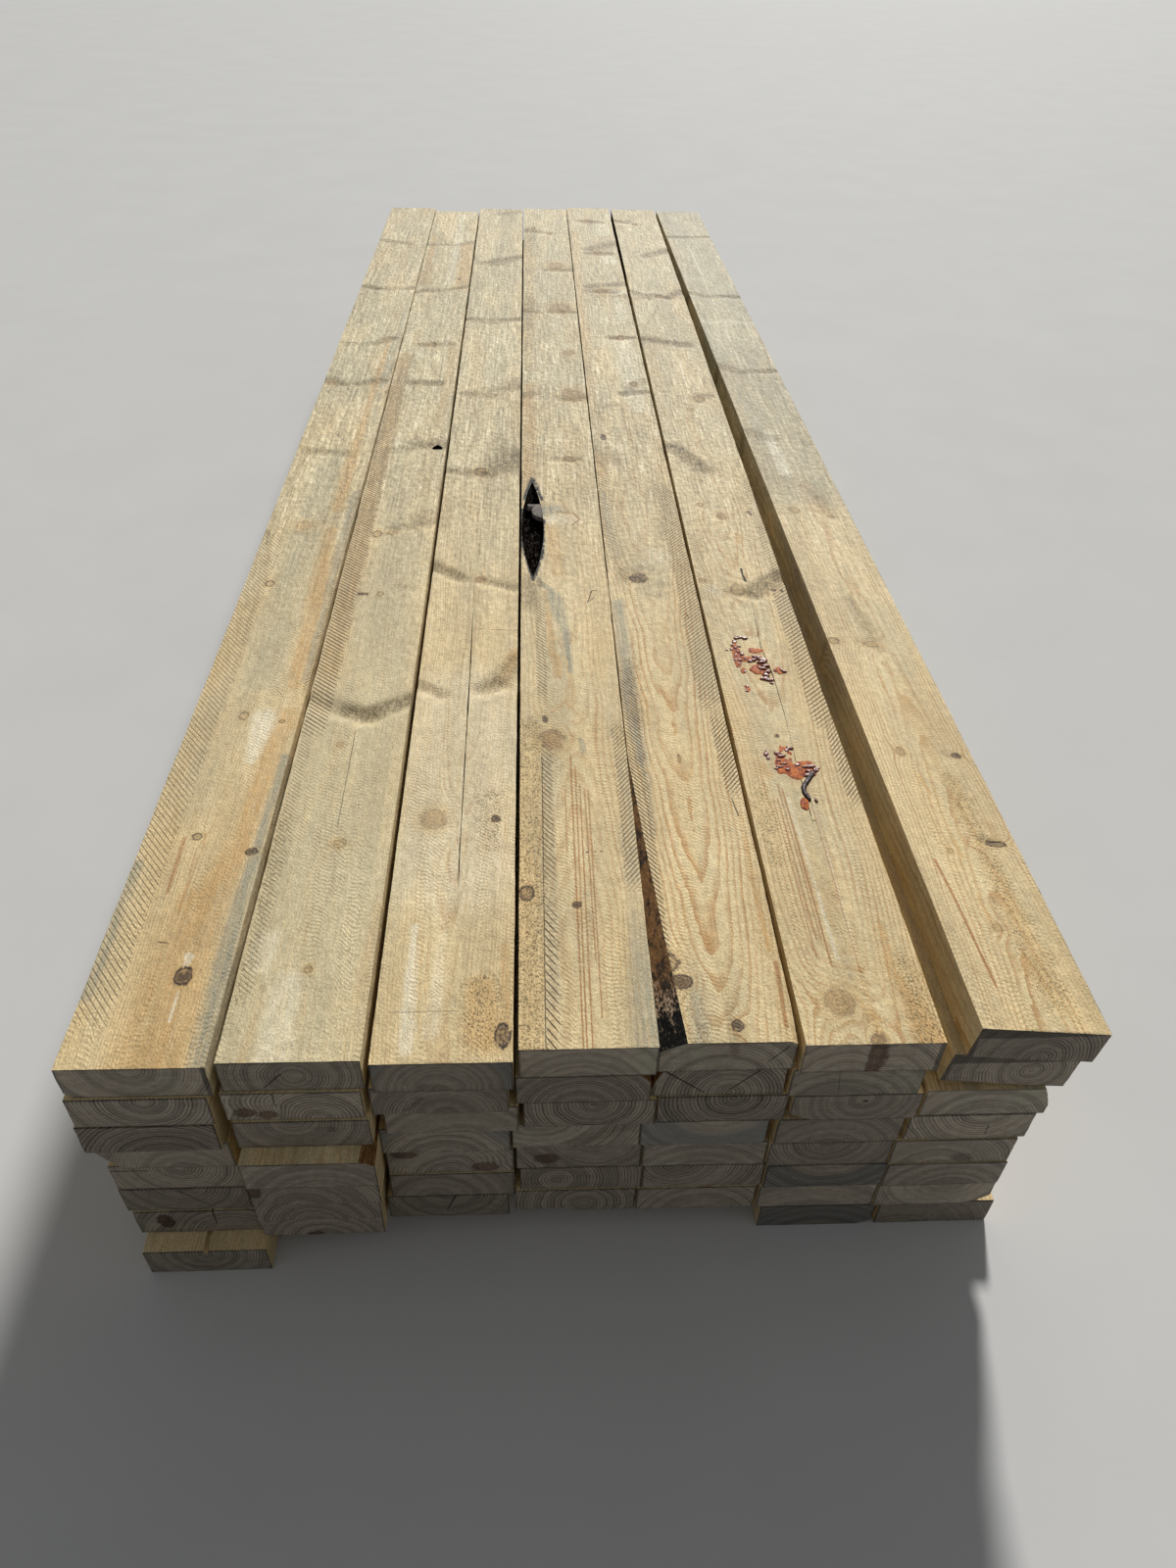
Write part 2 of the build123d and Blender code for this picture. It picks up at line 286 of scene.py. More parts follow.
        "ticks": [('right', 1.2, 1420, 1800, 11, 0, 60, 0.5)],
    },
    4: {
        "grain": {"Ring width": 3.8, "Lean": 0.008, "Contrast": 0.65, "Warm": 0.3},
        "knots": [
            (45, 530, 17, 21, 1.0, 0.25), (9, 228, 9, 11, 0.9, 0.85), (69, 208, 5, 5, 0.8, 1.0),
            (36, 578, 4, 8, 0.5, 1.0), (118, 1840, 26, 34, 0.8, 0.15), (116, 2120, 14, 18, 0.5, 0.35),
            (98, 1482, 12, 12, 0.6, 0.35), (106, 2484, 28, 40, 0.7, 0.12), (98, 2892, 24, 36, 0.75, 0.12),
            (31, 3330, 6, 20, 0.7, 0.8), (86, 3270, 7, 16, 0.4, 0.4),
        ],
        "orange": [
            (53, 1180, 60, 1060, 12, 12, 0.6), (60, 1060, 62, 1000, 12, 10, 0.5),
            (38, 940, 44, 880, 4, 5, 0.6), (44, 880, 50, 740, 5, 6, 0.65), (56, 740, 58, 690, 8, 8, 0.7),
            (70, 740, 80, 650, 4, 3, 0.5), (66, 620, 46, 596, 3, 3, 0.7), (66, 620, 82, 590, 3, 3, 0.7),
            (96, 1222, 92, 1200, 8, 8, 0.4), (69, 222, 69, 150, 4, 2, 0.5),
            (12, 1320, 14, 1900, 15, 12, 0.6), (45, 530, 46, 528, 12, 12, 0.4),
        ],
        "line": [
            (66, 1238, 98, 1234, 2, 2, 1), (98, 1234, 110, 1208, 2, 2, 1),
            (110, 1208, 94, 1184, 2, 2, 0.9), (70, 490, 69, 0, 1.25, 1, 0.9), (76, 470, 73, 0, 1, 1, 0.9),
            (81, 430, 79, 0, 1, 1, 0.9), (87, 420, 88, 120, 1, 1, 0.8), (92, 420, 91, 40, 1.125, 1, 0.8),
            (61, 420, 60, 300, 1, 0.875, 0.8),
        ],
        "blue": [
            (30, 985, 54, 930, 3, 8, 0.95), (54, 930, 66, 860, 12, 12, 0.9),
            (66, 860, 74, 790, 9, 6, 0.9), (74, 790, 77, 700, 5, 3, 0.9), (87, 530, 89, 500, 4, 4, 0.7),
            (134, 150, 140, -10, 6, 12, 0.6), (44, 1243, 64, 1248, 20, 16, 1),
            (143, 480, 140, 250, 8, 10, 0.45), (38, 490, 38, 60, 8, 8, 0.3),
            (52, 1250, 62, 1290, 8, 3, 0.5),
        ],
        "grey": [(62, 600, 62, 480, 12, 12, 0.2), (90, 2200, 100, 3560, 40, 50, 0.4)],
        "pale": [(58, 1206, 98, 1208, 18, 20, 0.45), (96, 2440, 92, 2300, 12, 14, 0.4)],
        "shade": [
            (4, 985, 14, 905, 15.6, 19.5, 0.59), (8, 905, 18, 886, 13, 10.4, 0.45),
            (30, 975, 32, 960, 6.5, 6.5, 0.72), (16, 575, 24, 520, 10, 6, 0.4),
            (45, 495, 62, 512, 5, 6, 0.4), (110, 1800, 148, 1810, 21, 21, 0.52),
            (84, 2452, 140, 2446, 18, 14, 0.57), (68, 2846, 140, 2848, 14, 14, 0.57),
            (0, 2452, 30, 2442, 14, 11, 0.72), (4, 3300, 34, 3290, 32, 21, 0.62),
            (4, 1836, 22, 1842, 25, 18, 0.72), (4, 2300, 8, 2560, 21, 25, 0.41),
            (68, 1486, 110, 1480, 11, 14, 0.52),
        ],
        "black": [
            (20, 978, 37, 1075, 3, 3.5, 1), (37, 1075, 41, 1205, 3.5, 3, 1),
            (39, 1285, 20, 1385, 3, 5, 1), (20, 1385, 3, 1290, 5, 3, 1), (1, 1250, 0, 1110, 3, 3, 1),
            (0, 1110, 20, 978, 3, 3, 1),
        ],
        "pits": [
            (13, 560, 13, 0, 15, 15, 0.9), (12, 3350, 14, 2000, 15, 15, 0.6),
            (140, 560, 146, 520, 8, 6, 0.6),
        ],
        "crack": [
            (121, 943, 112, 905, 0.7, 0.7, 0.9), (121, 943, 131, 942, 0.7, 0.7, 0.9),
            (112, 905, 124, 920, 0.6, 0.5, 0.8), (30, 490, 29, 0, 0.5, 0.5, 0.7),
            (85, 298, 86, 298, 1.2, 1.2, 0.9), (95, 299, 96, 299, 1.0, 1.0, 0.8),
            (103, 299, 104, 299, 1.0, 1.0, 0.8),
        ],
        "dips": [
            (92, 1806, 150, 1812, 24, 2.9), (78, 2446, 148, 2440, 24, 2.9),
            (66, 2844, 144, 2842, 24, 2.9), (0, 2448, 40, 2436, 20, 2.4), (4, 3290, 90, 3262, 20, 2.2),
            (66, 1476, 116, 1470, 18, 2),
        ],
        "ticks": [
            ('left', 1.45, -20, 210, 13, 30, 17, 1.0), ('left', 1.3, 250, 520, 10, 29, 18, 0.8),
            ('left', 1.2, 630, 900, 9, 24, 20, 0.8), ('right', 1.4, 240, 560, 9, 1, 24, 0.75),
            ('left', 1.1, 1300, 1950, 14, 1, 28, 0.6),
        ],
    },
    5: {
        "grain": {"Ring width": 4.2, "Lean": -0.034, "Contrast": 0.9, "Warm": 0.3},
        "knots": [
            (32, 84, 11, 9, 0.9, 0.95), (19, 112, 12, 13, 0.5, 0.8), (87, 22, 6, 7, 0.4, 1.0),
            (53, 985, 14, 13, 0.7, 0.95), (72, 482, 2, 9, 0.9, 0.6), (24, 1592, 5, 14, 0.6, 1.0),
            (114, 1905, 8, 14, 0.6, 0.8), (104, 2236, 9, 16, 0.5, 0.7), (76, 2642, 14, 26, 0.7, 0.35),
            (82, 3044, 12, 26, 0.6, 0.4), (68, 3430, 14, 22, 0.6, 0.4),
        ],
        "orange": [
            (141, 370, 138, 250, 2, 4, 0.8), (138, 250, 140, 130, 4, 3, 0.85),
            (22, 700, 26, 580, 14, 18, 0.3), (10, 2320, 12, 2230, 12, 14, 0.5),
            (8, 1500, 10, 1400, 10, 10, 0.5), (10, 1700, 12, 3300, 10, 10, 0.3),
        ],
        "line": [(144, 110, 140, 20, 2.5, 2.5, 0.9)],
        "blue": [
            (12, 900, 14, 640, 10, 12, 0.8), (14, 640, 20, 470, 12, 8, 0.7),
            (9, 1320, 16, 1060, 5, 9, 0.5), (24, 450, 22, 330, 6, 5, 0.4),
        ],
        "grey": [(76, 1020, 72, 940, 34, 24, 0.6), (110, 2300, 100, 2500, 40, 40, 0.3)],
        "pale": [
            (112, 1750, 110, 2200, 20, 22, 0.5), (120, 2940, 110, 2990, 26, 20, 0.7),
            (108, 2640, 130, 2628, 10, 14, 0.8), (110, 3420, 112, 3260, 22, 18, 0.5),
            (84, 1080, 100, 1060, 14, 20, 0.4), (120, 2560, 118, 2400, 14, 16, 0.4),
        ],
        "shade": [
            (36, 1010, 72, 1012, 13, 15.6, 0.41), (60, 950, 82, 930, 15.6, 15.6, 0.36),
            (62, 3080, 150, 3150, 28, 46, 0.62), (66, 3038, 116, 3036, 25, 21, 0.68),
            (44, 2682, 150, 2712, 21, 28, 0.62), (52, 2642, 96, 2636, 28, 25, 0.72),
            (60, 2586, 146, 2596, 14, 14, 0.41), (48, 3436, 106, 3424, 25, 21, 0.68),
            (82, 2240, 128, 2238, 16, 16, 0.72), (86, 1846, 136, 1858, 14, 14, 0.72),
            (100, 1880, 140, 1926, 14, 18, 0.62), (36, 1766, 64, 1776, 12, 12, 0.52),
            (4, 1520, 26, 1470, 35, 28, 0.52),
        ],
        "pits": [(24, 70, 40, 0, 14, 20, 0.5), (20, 560, 22, 720, 12, 14, 0.5)],
        "crack": [(124, 868, 128, 850, 0.7, 0.7, 0.8), (134, 394, 138, 360, 0.7, 0.8, 0.8)],
        "dips": [
            (60, 3072, 150, 3140, 28, 3.1), (60, 3030, 120, 3026, 22, 2.4),
            (44, 2674, 150, 2704, 24, 2.5), (56, 2630, 104, 2624, 22, 2.7),
            (46, 3428, 112, 3414, 22, 2.5), (80, 2232, 130, 2230, 20, 2.7),
            (84, 1842, 138, 1852, 20, 2.5), (34, 972, 90, 952, 22, 2.2),
        ],
        "ticks": [
            ('left', 1.35, -20, 700, 8.2, 1, 25, 1.0), ('left', 1.3, 940, 1110, 9.6, 12, 26, 0.8),
            ('right', 1.4, 410, 580, 9, 1, 26, 1.0), ('right', 1.2, 600, 1350, 9.6, 0, 38, 0.7),
            ('left', 0.9, 1110, 1420, 12, 0, 28, 0.6),
        ],
    },
    6: {
        "grain": {"Ring width": 3.6, "Lean": -0.022, "Contrast": 0.85, "Warm": 0.3},
        "knots": [
            (49, 57, 16, 18, 0.8, 0.2), (80, 4, 8, 9, 0.9, 0.5), (62, 537, 3, 4, 0.9, 1.0),
            (75, 1225, 9, 13, 0.8, 0.35), (40, 1275, 6, 9, 0.4, 0.4), (66, 950, 11, 17, 0.45, 0.45),
            (8, 980, 7, 7, 0.8, 0.3), (130, 952, 4, 5, 0.8, 1.0), (142, 948, 3, 4, 0.8, 1.0),
            (131, 1244, 4, 4, 0.5, 1.0), (133, 1234, 3, 4, 0.5, 1.0), (104, 1826, 12, 18, 0.7, 0.4),
            (76, 1762, 7, 10, 0.5, 0.6), (70, 3408, 9, 16, 0.5, 0.6), (80, 2604, 9, 14, 0.6, 0.5),
        ],
        "orange": [
            (82, 110, 82, 10, 2, 4, 0.7), (124, 170, 118, 90, 3, 5, 0.7), (120, 90, 140, 0, 7, 18, 0.75),
            (95, 1150, 94, 1125, 6, 5, 0.8), (42, 935, 44, 920, 4, 4, 0.6), (30, 470, 34, 450, 8, 7, 0.7),
            (10, 500, 14, 450, 12, 14, 0.35), (50, 740, 66, 690, 18, 18, 0.35),
            (72, 500, 74, 440, 26, 18, 0.35),
        ],
        "line": [
            (51, 110, 49, 420, 1.25, 1, 0.9), (47, 150, 44, 430, 1, 1, 0.8),
            (41, 150, 39, 400, 1, 1, 0.8), (36, 120, 33, 400, 1, 0.875, 0.7),
            (84, 420, 82, 100, 1, 1, 0.7),
        ],
        "blue": [(100, 930, 96, 700, 8, 6, 0.2)],
        "grey": [
            (70, 400, 70, 100, 9, 9, 0.25), (56, 2700, 60, 3300, 30, 34, 0.4),
            (60, 900, 62, 820, 40, 40, 0.3),
        ],
        "pale": [
            (83, 1900, 84, 2100, 2, 3, 0.7), (24, 950, 30, 944, 12, 10, 0.5),
            (54, 400, 60, 120, 2.5, 2.5, 0.6), (86, 400, 82, 120, 2, 2, 0.4),
            (30, 3400, 60, 3420, 12, 14, 0.6), (20, 2640, 60, 2640, 8, 8, 0.5),
            (10, 1560, 30, 1530, 6, 8, 0.5),
        ],
        "shade": [
            (92, 944, 150, 1010, 20.8, 15.6, 0.77), (56, 926, 70, 892, 3.9, 3.9, 0.36),
            (84, 926, 70, 892, 3.9, 3.9, 0.36), (12, 1552, 66, 1436, 21, 25, 0.89),
            (8, 2236, 60, 2206, 28, 28, 0.78), (60, 2206, 112, 2196, 25, 21, 0.72),
            (84, 1834, 130, 1850, 18, 14, 0.52), (0, 2650, 44, 2592, 18, 21, 0.62),
            (66, 2612, 92, 2600, 18, 18, 0.72), (108, 2598, 150, 2656, 18, 21, 0.83),
            (0, 2580, 40, 2574, 18, 14, 0.52), (76, 3020, 150, 3096, 18, 25, 0.78),
            (96, 3030, 150, 3060, 11, 14, 0.62), (0, 3454, 42, 3444, 21, 18, 0.72),
            (0, 930, 20, 920, 13, 10.4, 0.36),
        ],
        "pits": [
            (136, 110, 140, 0, 12, 18, 0.9), (16, 420, 18, 280, 12, 12, 0.6),
            (118, 940, 146, 990, 16, 14, 0.6),
        ],
        "crack": [
            (83, 1022, 82, 1000, 2.0, 1.4, 1.0), (82, 1000, 84, 978, 1.4, 2.6, 1.0),
            (62, 170, 62, 171, 0.5, 0.5, 0.5),
        ],
        "dips": [
            (92, 930, 152, 996, 24, 3.7), (30, 938, 92, 926, 20, 2), (10, 1540, 66, 1428, 20, 2.4),
            (8, 2226, 114, 2186, 24, 2.9), (0, 2640, 44, 2582, 22, 2.5), (66, 2602, 108, 2590, 20, 2.4),
            (108, 2590, 152, 2648, 22, 2.7), (76, 3010, 152, 3086, 24, 2.9), (0, 3444, 80, 3402, 22, 2.5),
            (60, 1756, 134, 1836, 20, 2),
        ],
        "ticks": [
            ('right', 1.4, 390, 560, 8.8, 1, 24, 0.9), ('right', 1.0, 560, 940, 10, 1, 36, 0.9),
            ('right', 0.9, 940, 1400, 10, 1, 24, 0.5), ('left', 1.0, 940, 1150, 10, 1, 22, 0.4),
        ],
    },
    7: {
        "grain": {"Ring width": 3.9, "Lean": 0.014, "Contrast": 0.85, "Warm": 0.25},
        "knots": [
            (43, 482, 7, 9, 0.7, 0.3), (125, 481, 6, 6, 0.5, 1.0), (120, 299, 13, 5, 0.5, 0.9),
            (70, 150, 6, 7, 0.6, 0.3), (38, 1232, 10, 12, 0.4, 0.4), (108, 1216, 6, 8, 0.6, 0.6),
            (10, 764, 9, 9, 0.4, 0.5), (72, 762, 12, 8, 0.4, 0.4), (52, 280, 4, 5, 0.4, 0.3),
        ],
        "orange": [
            (55, 430, 60, 392, 2.5, 2.5, 0.8), (64, 300, 66, 270, 2.5, 2.5, 0.6),
            (62, 200, 66, 150, 4, 3, 0.5), (72, 110, 74, 85, 4, 3, 0.6), (62, 668, 62, 628, 3, 3, 0.7),
            (86, 1350, 92, 1240, 14, 18, 0.55), (82, 560, 96, 360, 5, 5, 0.4),
            (84, 600, 100, 540, 26, 30, 0.3), (124, 340, 124, 300, 7, 9, 0.4),
            (100, 420, 98, 60, 8, 12, 0.35),
        ],
        "line": [(26, 262, 31, 190, 1.875, 2, 1), (31, 190, 36, 60, 1.75, 1.75, 1)],
        "blue": [(75, 1350, 75, 3650, 90, 90, 0.65)],
        "grey": [
            (30, 1300, 40, 1220, 24, 26, 0.5), (110, 870, 112, 700, 26, 24, 0.4),
            (76, 2200, 80, 3560, 60, 60, 0.35),
        ],
        "pale": [
            (62, 3130, 62, 2700, 1.6, 1.4, 0.8), (62, 2700, 60, 2060, 1.4, 2.2, 0.7),
            (60, 2060, 62, 1990, 2.5, 3, 0.8), (52, 1610, 52, 1400, 12, 14, 0.8),
            (128, 2420, 124, 2200, 1.6, 1.6, 0.8), (124, 2200, 108, 2190, 1.6, 1.4, 0.7),
            (128, 2400, 140, 2430, 1.5, 1.5, 0.7), (30, 3280, 150, 3270, 3, 3, 0.4),
            (10, 2360, 150, 2366, 14, 14, 0.35),
        ],
        "shade": [
            (58, 772, 86, 752, 10.4, 10.4, 0.54), (0, 768, 20, 762, 9.1, 7.8, 0.45),
            (68, 900, 82, 780, 13, 15.6, 0.45), (4, 2016, 52, 1980, 21, 16, 0.89),
            (64, 1990, 140, 2008, 14, 14, 0.72), (4, 2622, 46, 2592, 16, 14, 0.78),
            (46, 2590, 142, 2606, 14, 12, 0.68), (0, 3246, 60, 3238, 14, 18, 0.78),
            (60, 3240, 148, 3258, 14, 12, 0.62), (0, 1606, 60, 1580, 25, 21, 0.62),
            (100, 1300, 108, 1220, 15.6, 10.4, 0.36), (106, 310, 128, 302, 7, 6, 0.6),
            (110, 486, 128, 480, 9, 6, 0.4),
        ],
        "pits": [(100, 430, 98, 40, 12, 18, 0.7), (110, 180, 112, 60, 12, 14, 0.5)],
        "crack": [(112, 300, 128, 303, 1.2, 0.9, 0.9)],
        "dips": [
            (4, 2006, 56, 1970, 22, 2.9), (60, 1980, 142, 1998, 20, 2.4), (4, 2612, 144, 2592, 20, 2.4),
            (0, 3236, 148, 3248, 20, 2.4), (4, 1598, 62, 1574, 24, 2.7), (54, 764, 92, 744, 18, 2),
        ],
        "ticks": [('right', 0.9, 900, 1400, 11, 1, 22, 0.3)],
    },
}

STREAK_CHANNELS = ("orange", "blue", "grey", "pale", "brown", "line", "shade", "black", "pits", "crack")

# How each plank's front end looks, by tier from the ground and place from the left. Places are
# millimetres across from the plank's left side and up from its underside.
# First the pith (across, up) and the strength of the rings, and then the marks:
# sapwood: how far from the pith the blue-stained sapwood starts
# knots: across, up, half width, half height, how sound, how dark
# blue, brown, crack: across and up of both ends of a streak, half width at each end, strength
ENDS = {
    (8, 1): (76, 50, 0.7, {"blue": [(115, 22, 115, 40, 10, 8, 0.7)]}),
    (8, 2): (82, 28, 0.95, {"crack": [(65, 30, 44, 5, 0.9, 0.5, 0.9)]}),
    (8, 3): (76, 6, 0.5, {"sapwood": 66, "brown": [(56, 6, 78, 3, 8, 6, 0.5)]}),
    (8, 4): (70, -34, 0.4, {"blue": [(140, 48, 138, 4, 16, 14, 0.8)]}),
    (8, 5): (72, -24, 0.6, {
        "blue": [(19, 42, 20, 10, 7, 5, 0.5), (44, 44, 46, 16, 10, 8, 0.75)],
        "brown": [(80, 46, 82, 34, 6, 5, 0.6)], "crack": [(141, 42, 121, 14, 0.7, 0.5, 0.8)]}),
    (8, 6): (70, -30, 0.7, {"knots": [(83, 27, 10, 24, 0.9, 0.4)]}),
    (8, 7): (80, 5, 0.95, {}),
    (7, 1): (84, 50, 0.9, {}),
    (7, 2): (98, 5, 0.9, {
        "knots": [(22, 15, 11, 8, 0.9, 0.4), (46, 10, 10, 7, 0.9, 0.4)],
        "blue": [(4, 47, 32, 47, 4, 4, 0.8), (112, 14, 120, 13, 5, 5, 0.7)],
        "crack": [(56, 48, 56, 24, 0.7, 0.5, 0.8)]}),
    (7, 3): (82, -5, 0.85, {"brown": [(55, 30, 36, 8, 4, 3, 0.7)]}),
    (7, 4): (70, -15, 0.7, {}),
    (7, 5): (84, 8, 0.9, {"crack": [(9, 49, 57, 6, 1.0, 0.6, 0.95), (119, 50, 85, 8, 0.8, 0.6, 0.9)]}),
    (7, 6): (60, -30, 0.5, {
        "blue": [(62, 26, 86, 24, 16, 16, 0.5), (112, 26, 144, 26, 18, 20, 0.8)],
        "crack": [(52, 46, 57, 6, 0.5, 0.5, 0.5)]}),
    (7, 7): (97, 30, 0.95, {}),
    (6, 1): (88, -25, 1.0, {"brown": [(20, 20, 130, 24, 24, 24, 0.35)]}),
    (6, 2): (71, 55, 0.8, {"brown": [(107, 36, 108, 34, 5, 5, 0.6)]}),
    (6, 3): (80, -40, 0.35, {"brown": [(20, 20, 130, 24, 26, 26, 0.25)]}),
    (6, 4): (80, 46, 1.0, {"brown": [(77, 46, 82, 45, 5, 5, 0.8)]}),
    (6, 5): (87, 48, 1.0, {}),
    (6, 6): (84, 38, 0.4, {
        "knots": [(84, 38, 3, 2, 0.9, 1.0)], "brown": [(30, 24, 120, 24, 24, 24, 0.2)]}),
    (6, 7): (78, -24, 0.6, {"blue": [(46, 22, 52, 42, 14, 12, 0.8), (106, 20, 124, 40, 16, 18, 0.8)]}),
    (5, 1): (93, -6, 0.5, {}),
    (5, 2): (85, -40, 0.5, {}),
    (5, 3): (74, -20, 0.8, {"sapwood": 72}),
    (5, 4): (40, 70, 0.6, {
        "brown": [(70, 6, 130, 44, 10, 12, 0.5)], "blue": [(4, 26, 22, 28, 12, 10, 0.7)]}),
    (5, 5): (92, 78, 0.5, {"sapwood": 50}),
    (5, 6): (70, -26, 0.45, {}),
    (5, 7): (87, 62, 0.8, {"crack": [(98, 28, 98, 10, 0.7, 0.5, 0.8)]}),
    (4, 1): (83, 44, 0.95, {"crack": [(0, 40, 45, 40, 0.9, 0.5, 0.9)]}),
    (4, 2): (54, -10, 0.95, {"knots": [(6, 32, 8, 13, 0.9, 0.5)]}),
    (4, 3): (74, -5, 0.8, {"knots": [(21, 42, 14, 7, 0.9, 0.4), (116, 12, 16, 9, 0.9, 0.4)]}),
    (4, 4): (96, 60, 0.8, {"knots": [(36, 22, 14, 10, 0.9, 0.4)]}),
    (4, 5): (80, -50, 0.4, {
        "blue": [(18, 4, 36, 6, 6, 6, 0.7)], "brown": [(60, 30, 120, 30, 22, 22, 0.3)]}),
    (4, 6): (75, 55, 0.85, {}),
    (4, 7): (60, -20, 0.6, {"brown": [(86, 10, 96, 11, 10, 9, 0.7)]}),
    (3, 1): (76, 60, 0.85, {"crack": [(70, 45, 100, 10, 0.8, 0.5, 0.9)]}),
    (3, 2): (68, -10, 0.7, {"brown": [(20, 20, 130, 24, 24, 24, 0.3)]}),
    (3, 3): (52, -8, 0.7, {}),
    (3, 4): (45, 20, 0.95, {}),
    (3, 5): (43, 58, 1.0, {}),
    (3, 6): (76, 80, 0.7, {"sapwood": 55}),
    (3, 7): (90, -30, 0.4, {}),
    (2, 1): (104, -16, 0.7, {
        "knots": [(36, 28, 9, 13, 1.0, 0.9)], "blue": [(2, 24, 18, 24, 14, 10, 0.7)],
        "crack": [(96, 50, 96, 20, 0.9, 0.5, 0.95)]}),
    (2, 2): (75, -15, 0.8, {"knots": [(65, 3, 10, 5, 1.0, 0.3)], "blue": [(60, 44, 86, 43, 8, 8, 0.7)]}),
    (2, 3): (78, 60, 0.8, {"crack": [(84, 48, 72, 15, 0.9, 0.5, 0.95)]}),
    (2, 4): (80, 20, 0.9, {}),
    (2, 5): (80, -20, 0.9, {}),
    (2, 6): (70, -60, 0.4, {}),
    (2, 7): (76, 64, 0.6, {"blue": [(6, 40, 60, 36, 8, 8, 0.5)]}),
    (1, 1): (75, 50, 1.0, {}),
    (1, 2): (60, -20, 0.7, {}),
    (1, 3): (90, 70, 0.7, {}),
    (1, 4): (40, 62, 0.7, {}),
    (1, 5): (95, -12, 0.7, {}),
    (1, 6): (78, -56, 0.4, {"sapwood": 60}),
    (1, 7): (38, -30, 0.6, {}),
}

# Dried resin on the sixth plank of the top tier: across, back, half width, half length, half height
RESIN_RUNS = {
    "resin_film_far": [
        (34, 744, 7, 34, 0.35), (66, 758, 12, 8, 0.35), (50, 735, 14, 8, 0.35), (62, 706, 11, 14, 0.4),
        (38, 652, 4, 10, 0.3), (38, 702, 4, 8, 0.3), (95, 704, 6, 9, 0.3),
    ],
    "resin_film_near": [
        (60, 476, 14, 26, 0.4), (74, 456, 15, 18, 0.4), (68, 500, 8, 14, 0.4), (88, 470, 12, 10, 0.4),
        (97, 460, 8, 14, 0.4), (74, 388, 6, 12, 0.35),
    ],
    "resin_drops_far": [
        (40, 795, 4, 4, 1.6), (47, 797, 5, 4, 2.0), (54, 794, 5, 4, 1.8), (36, 783, 4, 4, 1.6),
        (31, 774, 3, 3, 1.2), (29, 762, 3, 3, 1.2), (35, 766, 3, 4, 1.4), (42, 771, 3, 3, 1.2),
        (38, 754, 3, 4, 1.5), (33, 745, 3, 3, 1.2), (43, 748, 4, 4, 1.6), (30, 733, 3, 3, 1.2),
        (37, 731, 4, 4, 1.6), (46, 736, 4, 4, 1.6), (52, 728, 4, 3, 1.6), (59, 731, 5, 4, 2.0),
        (67, 738, 7, 7, 2.6), (75, 731, 7, 6, 2.4), (70, 724, 8, 4, 2.6), (74, 715, 7, 4, 2.4),
        (70, 707, 8, 4, 2.2), (76, 699, 6, 4, 2.2), (72, 691, 6, 4, 1.8), (70, 680, 7, 5, 2.2),
        (77, 676, 5, 4, 2.0), (78, 668, 3, 3, 1.4), (20, 760, 3, 2, 1.2), (102, 700, 4, 4, 1.8),
        (99, 706, 3, 3, 1.2), (34, 721, 3, 3, 1.0), (38, 660, 2.5, 3, 1.0), (36, 648, 2.5, 3, 1.0),
        (40, 700, 2.5, 3, 1.0),
    ],
    "resin_drops_near": [
        (39, 494, 4, 6, 1.8), (41, 486, 3, 4, 1.4), (55, 496, 5, 4, 2.0), (60, 489, 6, 4, 2.2),
        (54, 480, 4, 3, 1.6), (76, 507, 6, 4, 1.8), (70, 502, 4, 4, 1.2), (62, 473, 6, 3, 1.6),
        (54, 466, 5, 3, 1.6), (49, 462, 4, 2, 1.2), (64, 460, 5, 4, 1.6), (90, 466, 6, 4, 2.0),
        (99, 466, 6, 5, 2.4), (93, 456, 6, 4, 2.2), (102, 458, 4, 4, 1.8), (89, 448, 5, 4, 1.8),
        (98, 450, 4, 4, 1.6), (80, 470, 4, 4, 1.2), (107, 462, 3, 4, 1.2), (91, 396, 2, 4, 1.2),
    ],
    "resin_tail": [
        (98, 452, 3.5, 5, 2.0), (94, 446, 3.5, 5, 2.2), (90, 440, 3.5, 5, 2.2), (86, 434, 3.5, 5, 2.4),
        (82, 428, 3.6, 5, 2.4), (79, 421, 3.8, 6, 2.4), (78, 413, 3.8, 6, 2.4), (80, 405, 3.6, 6, 2.4),
        (82, 398, 3.2, 5, 2.2),
    ],
}


def colour_setting(name, description, *shown):
    """A colour, with its default as it shows on a screen."""
    return FloatVectorProperty(
        name=name, description=description, subtype="COLOR", default=linear(*shown), min=0, max=1)


def length_setting(name, description, default, low, high):
    """A length in metres."""
    return FloatProperty(
        name=name, description=description, default=default, min=low, max=high, unit="LENGTH")


def angle_setting(name, description, degrees):
    """An angle, with its default in degrees."""
    return FloatProperty(
        name=name, description=description, default=math.radians(degrees), subtype="ANGLE", unit="ROTATION")


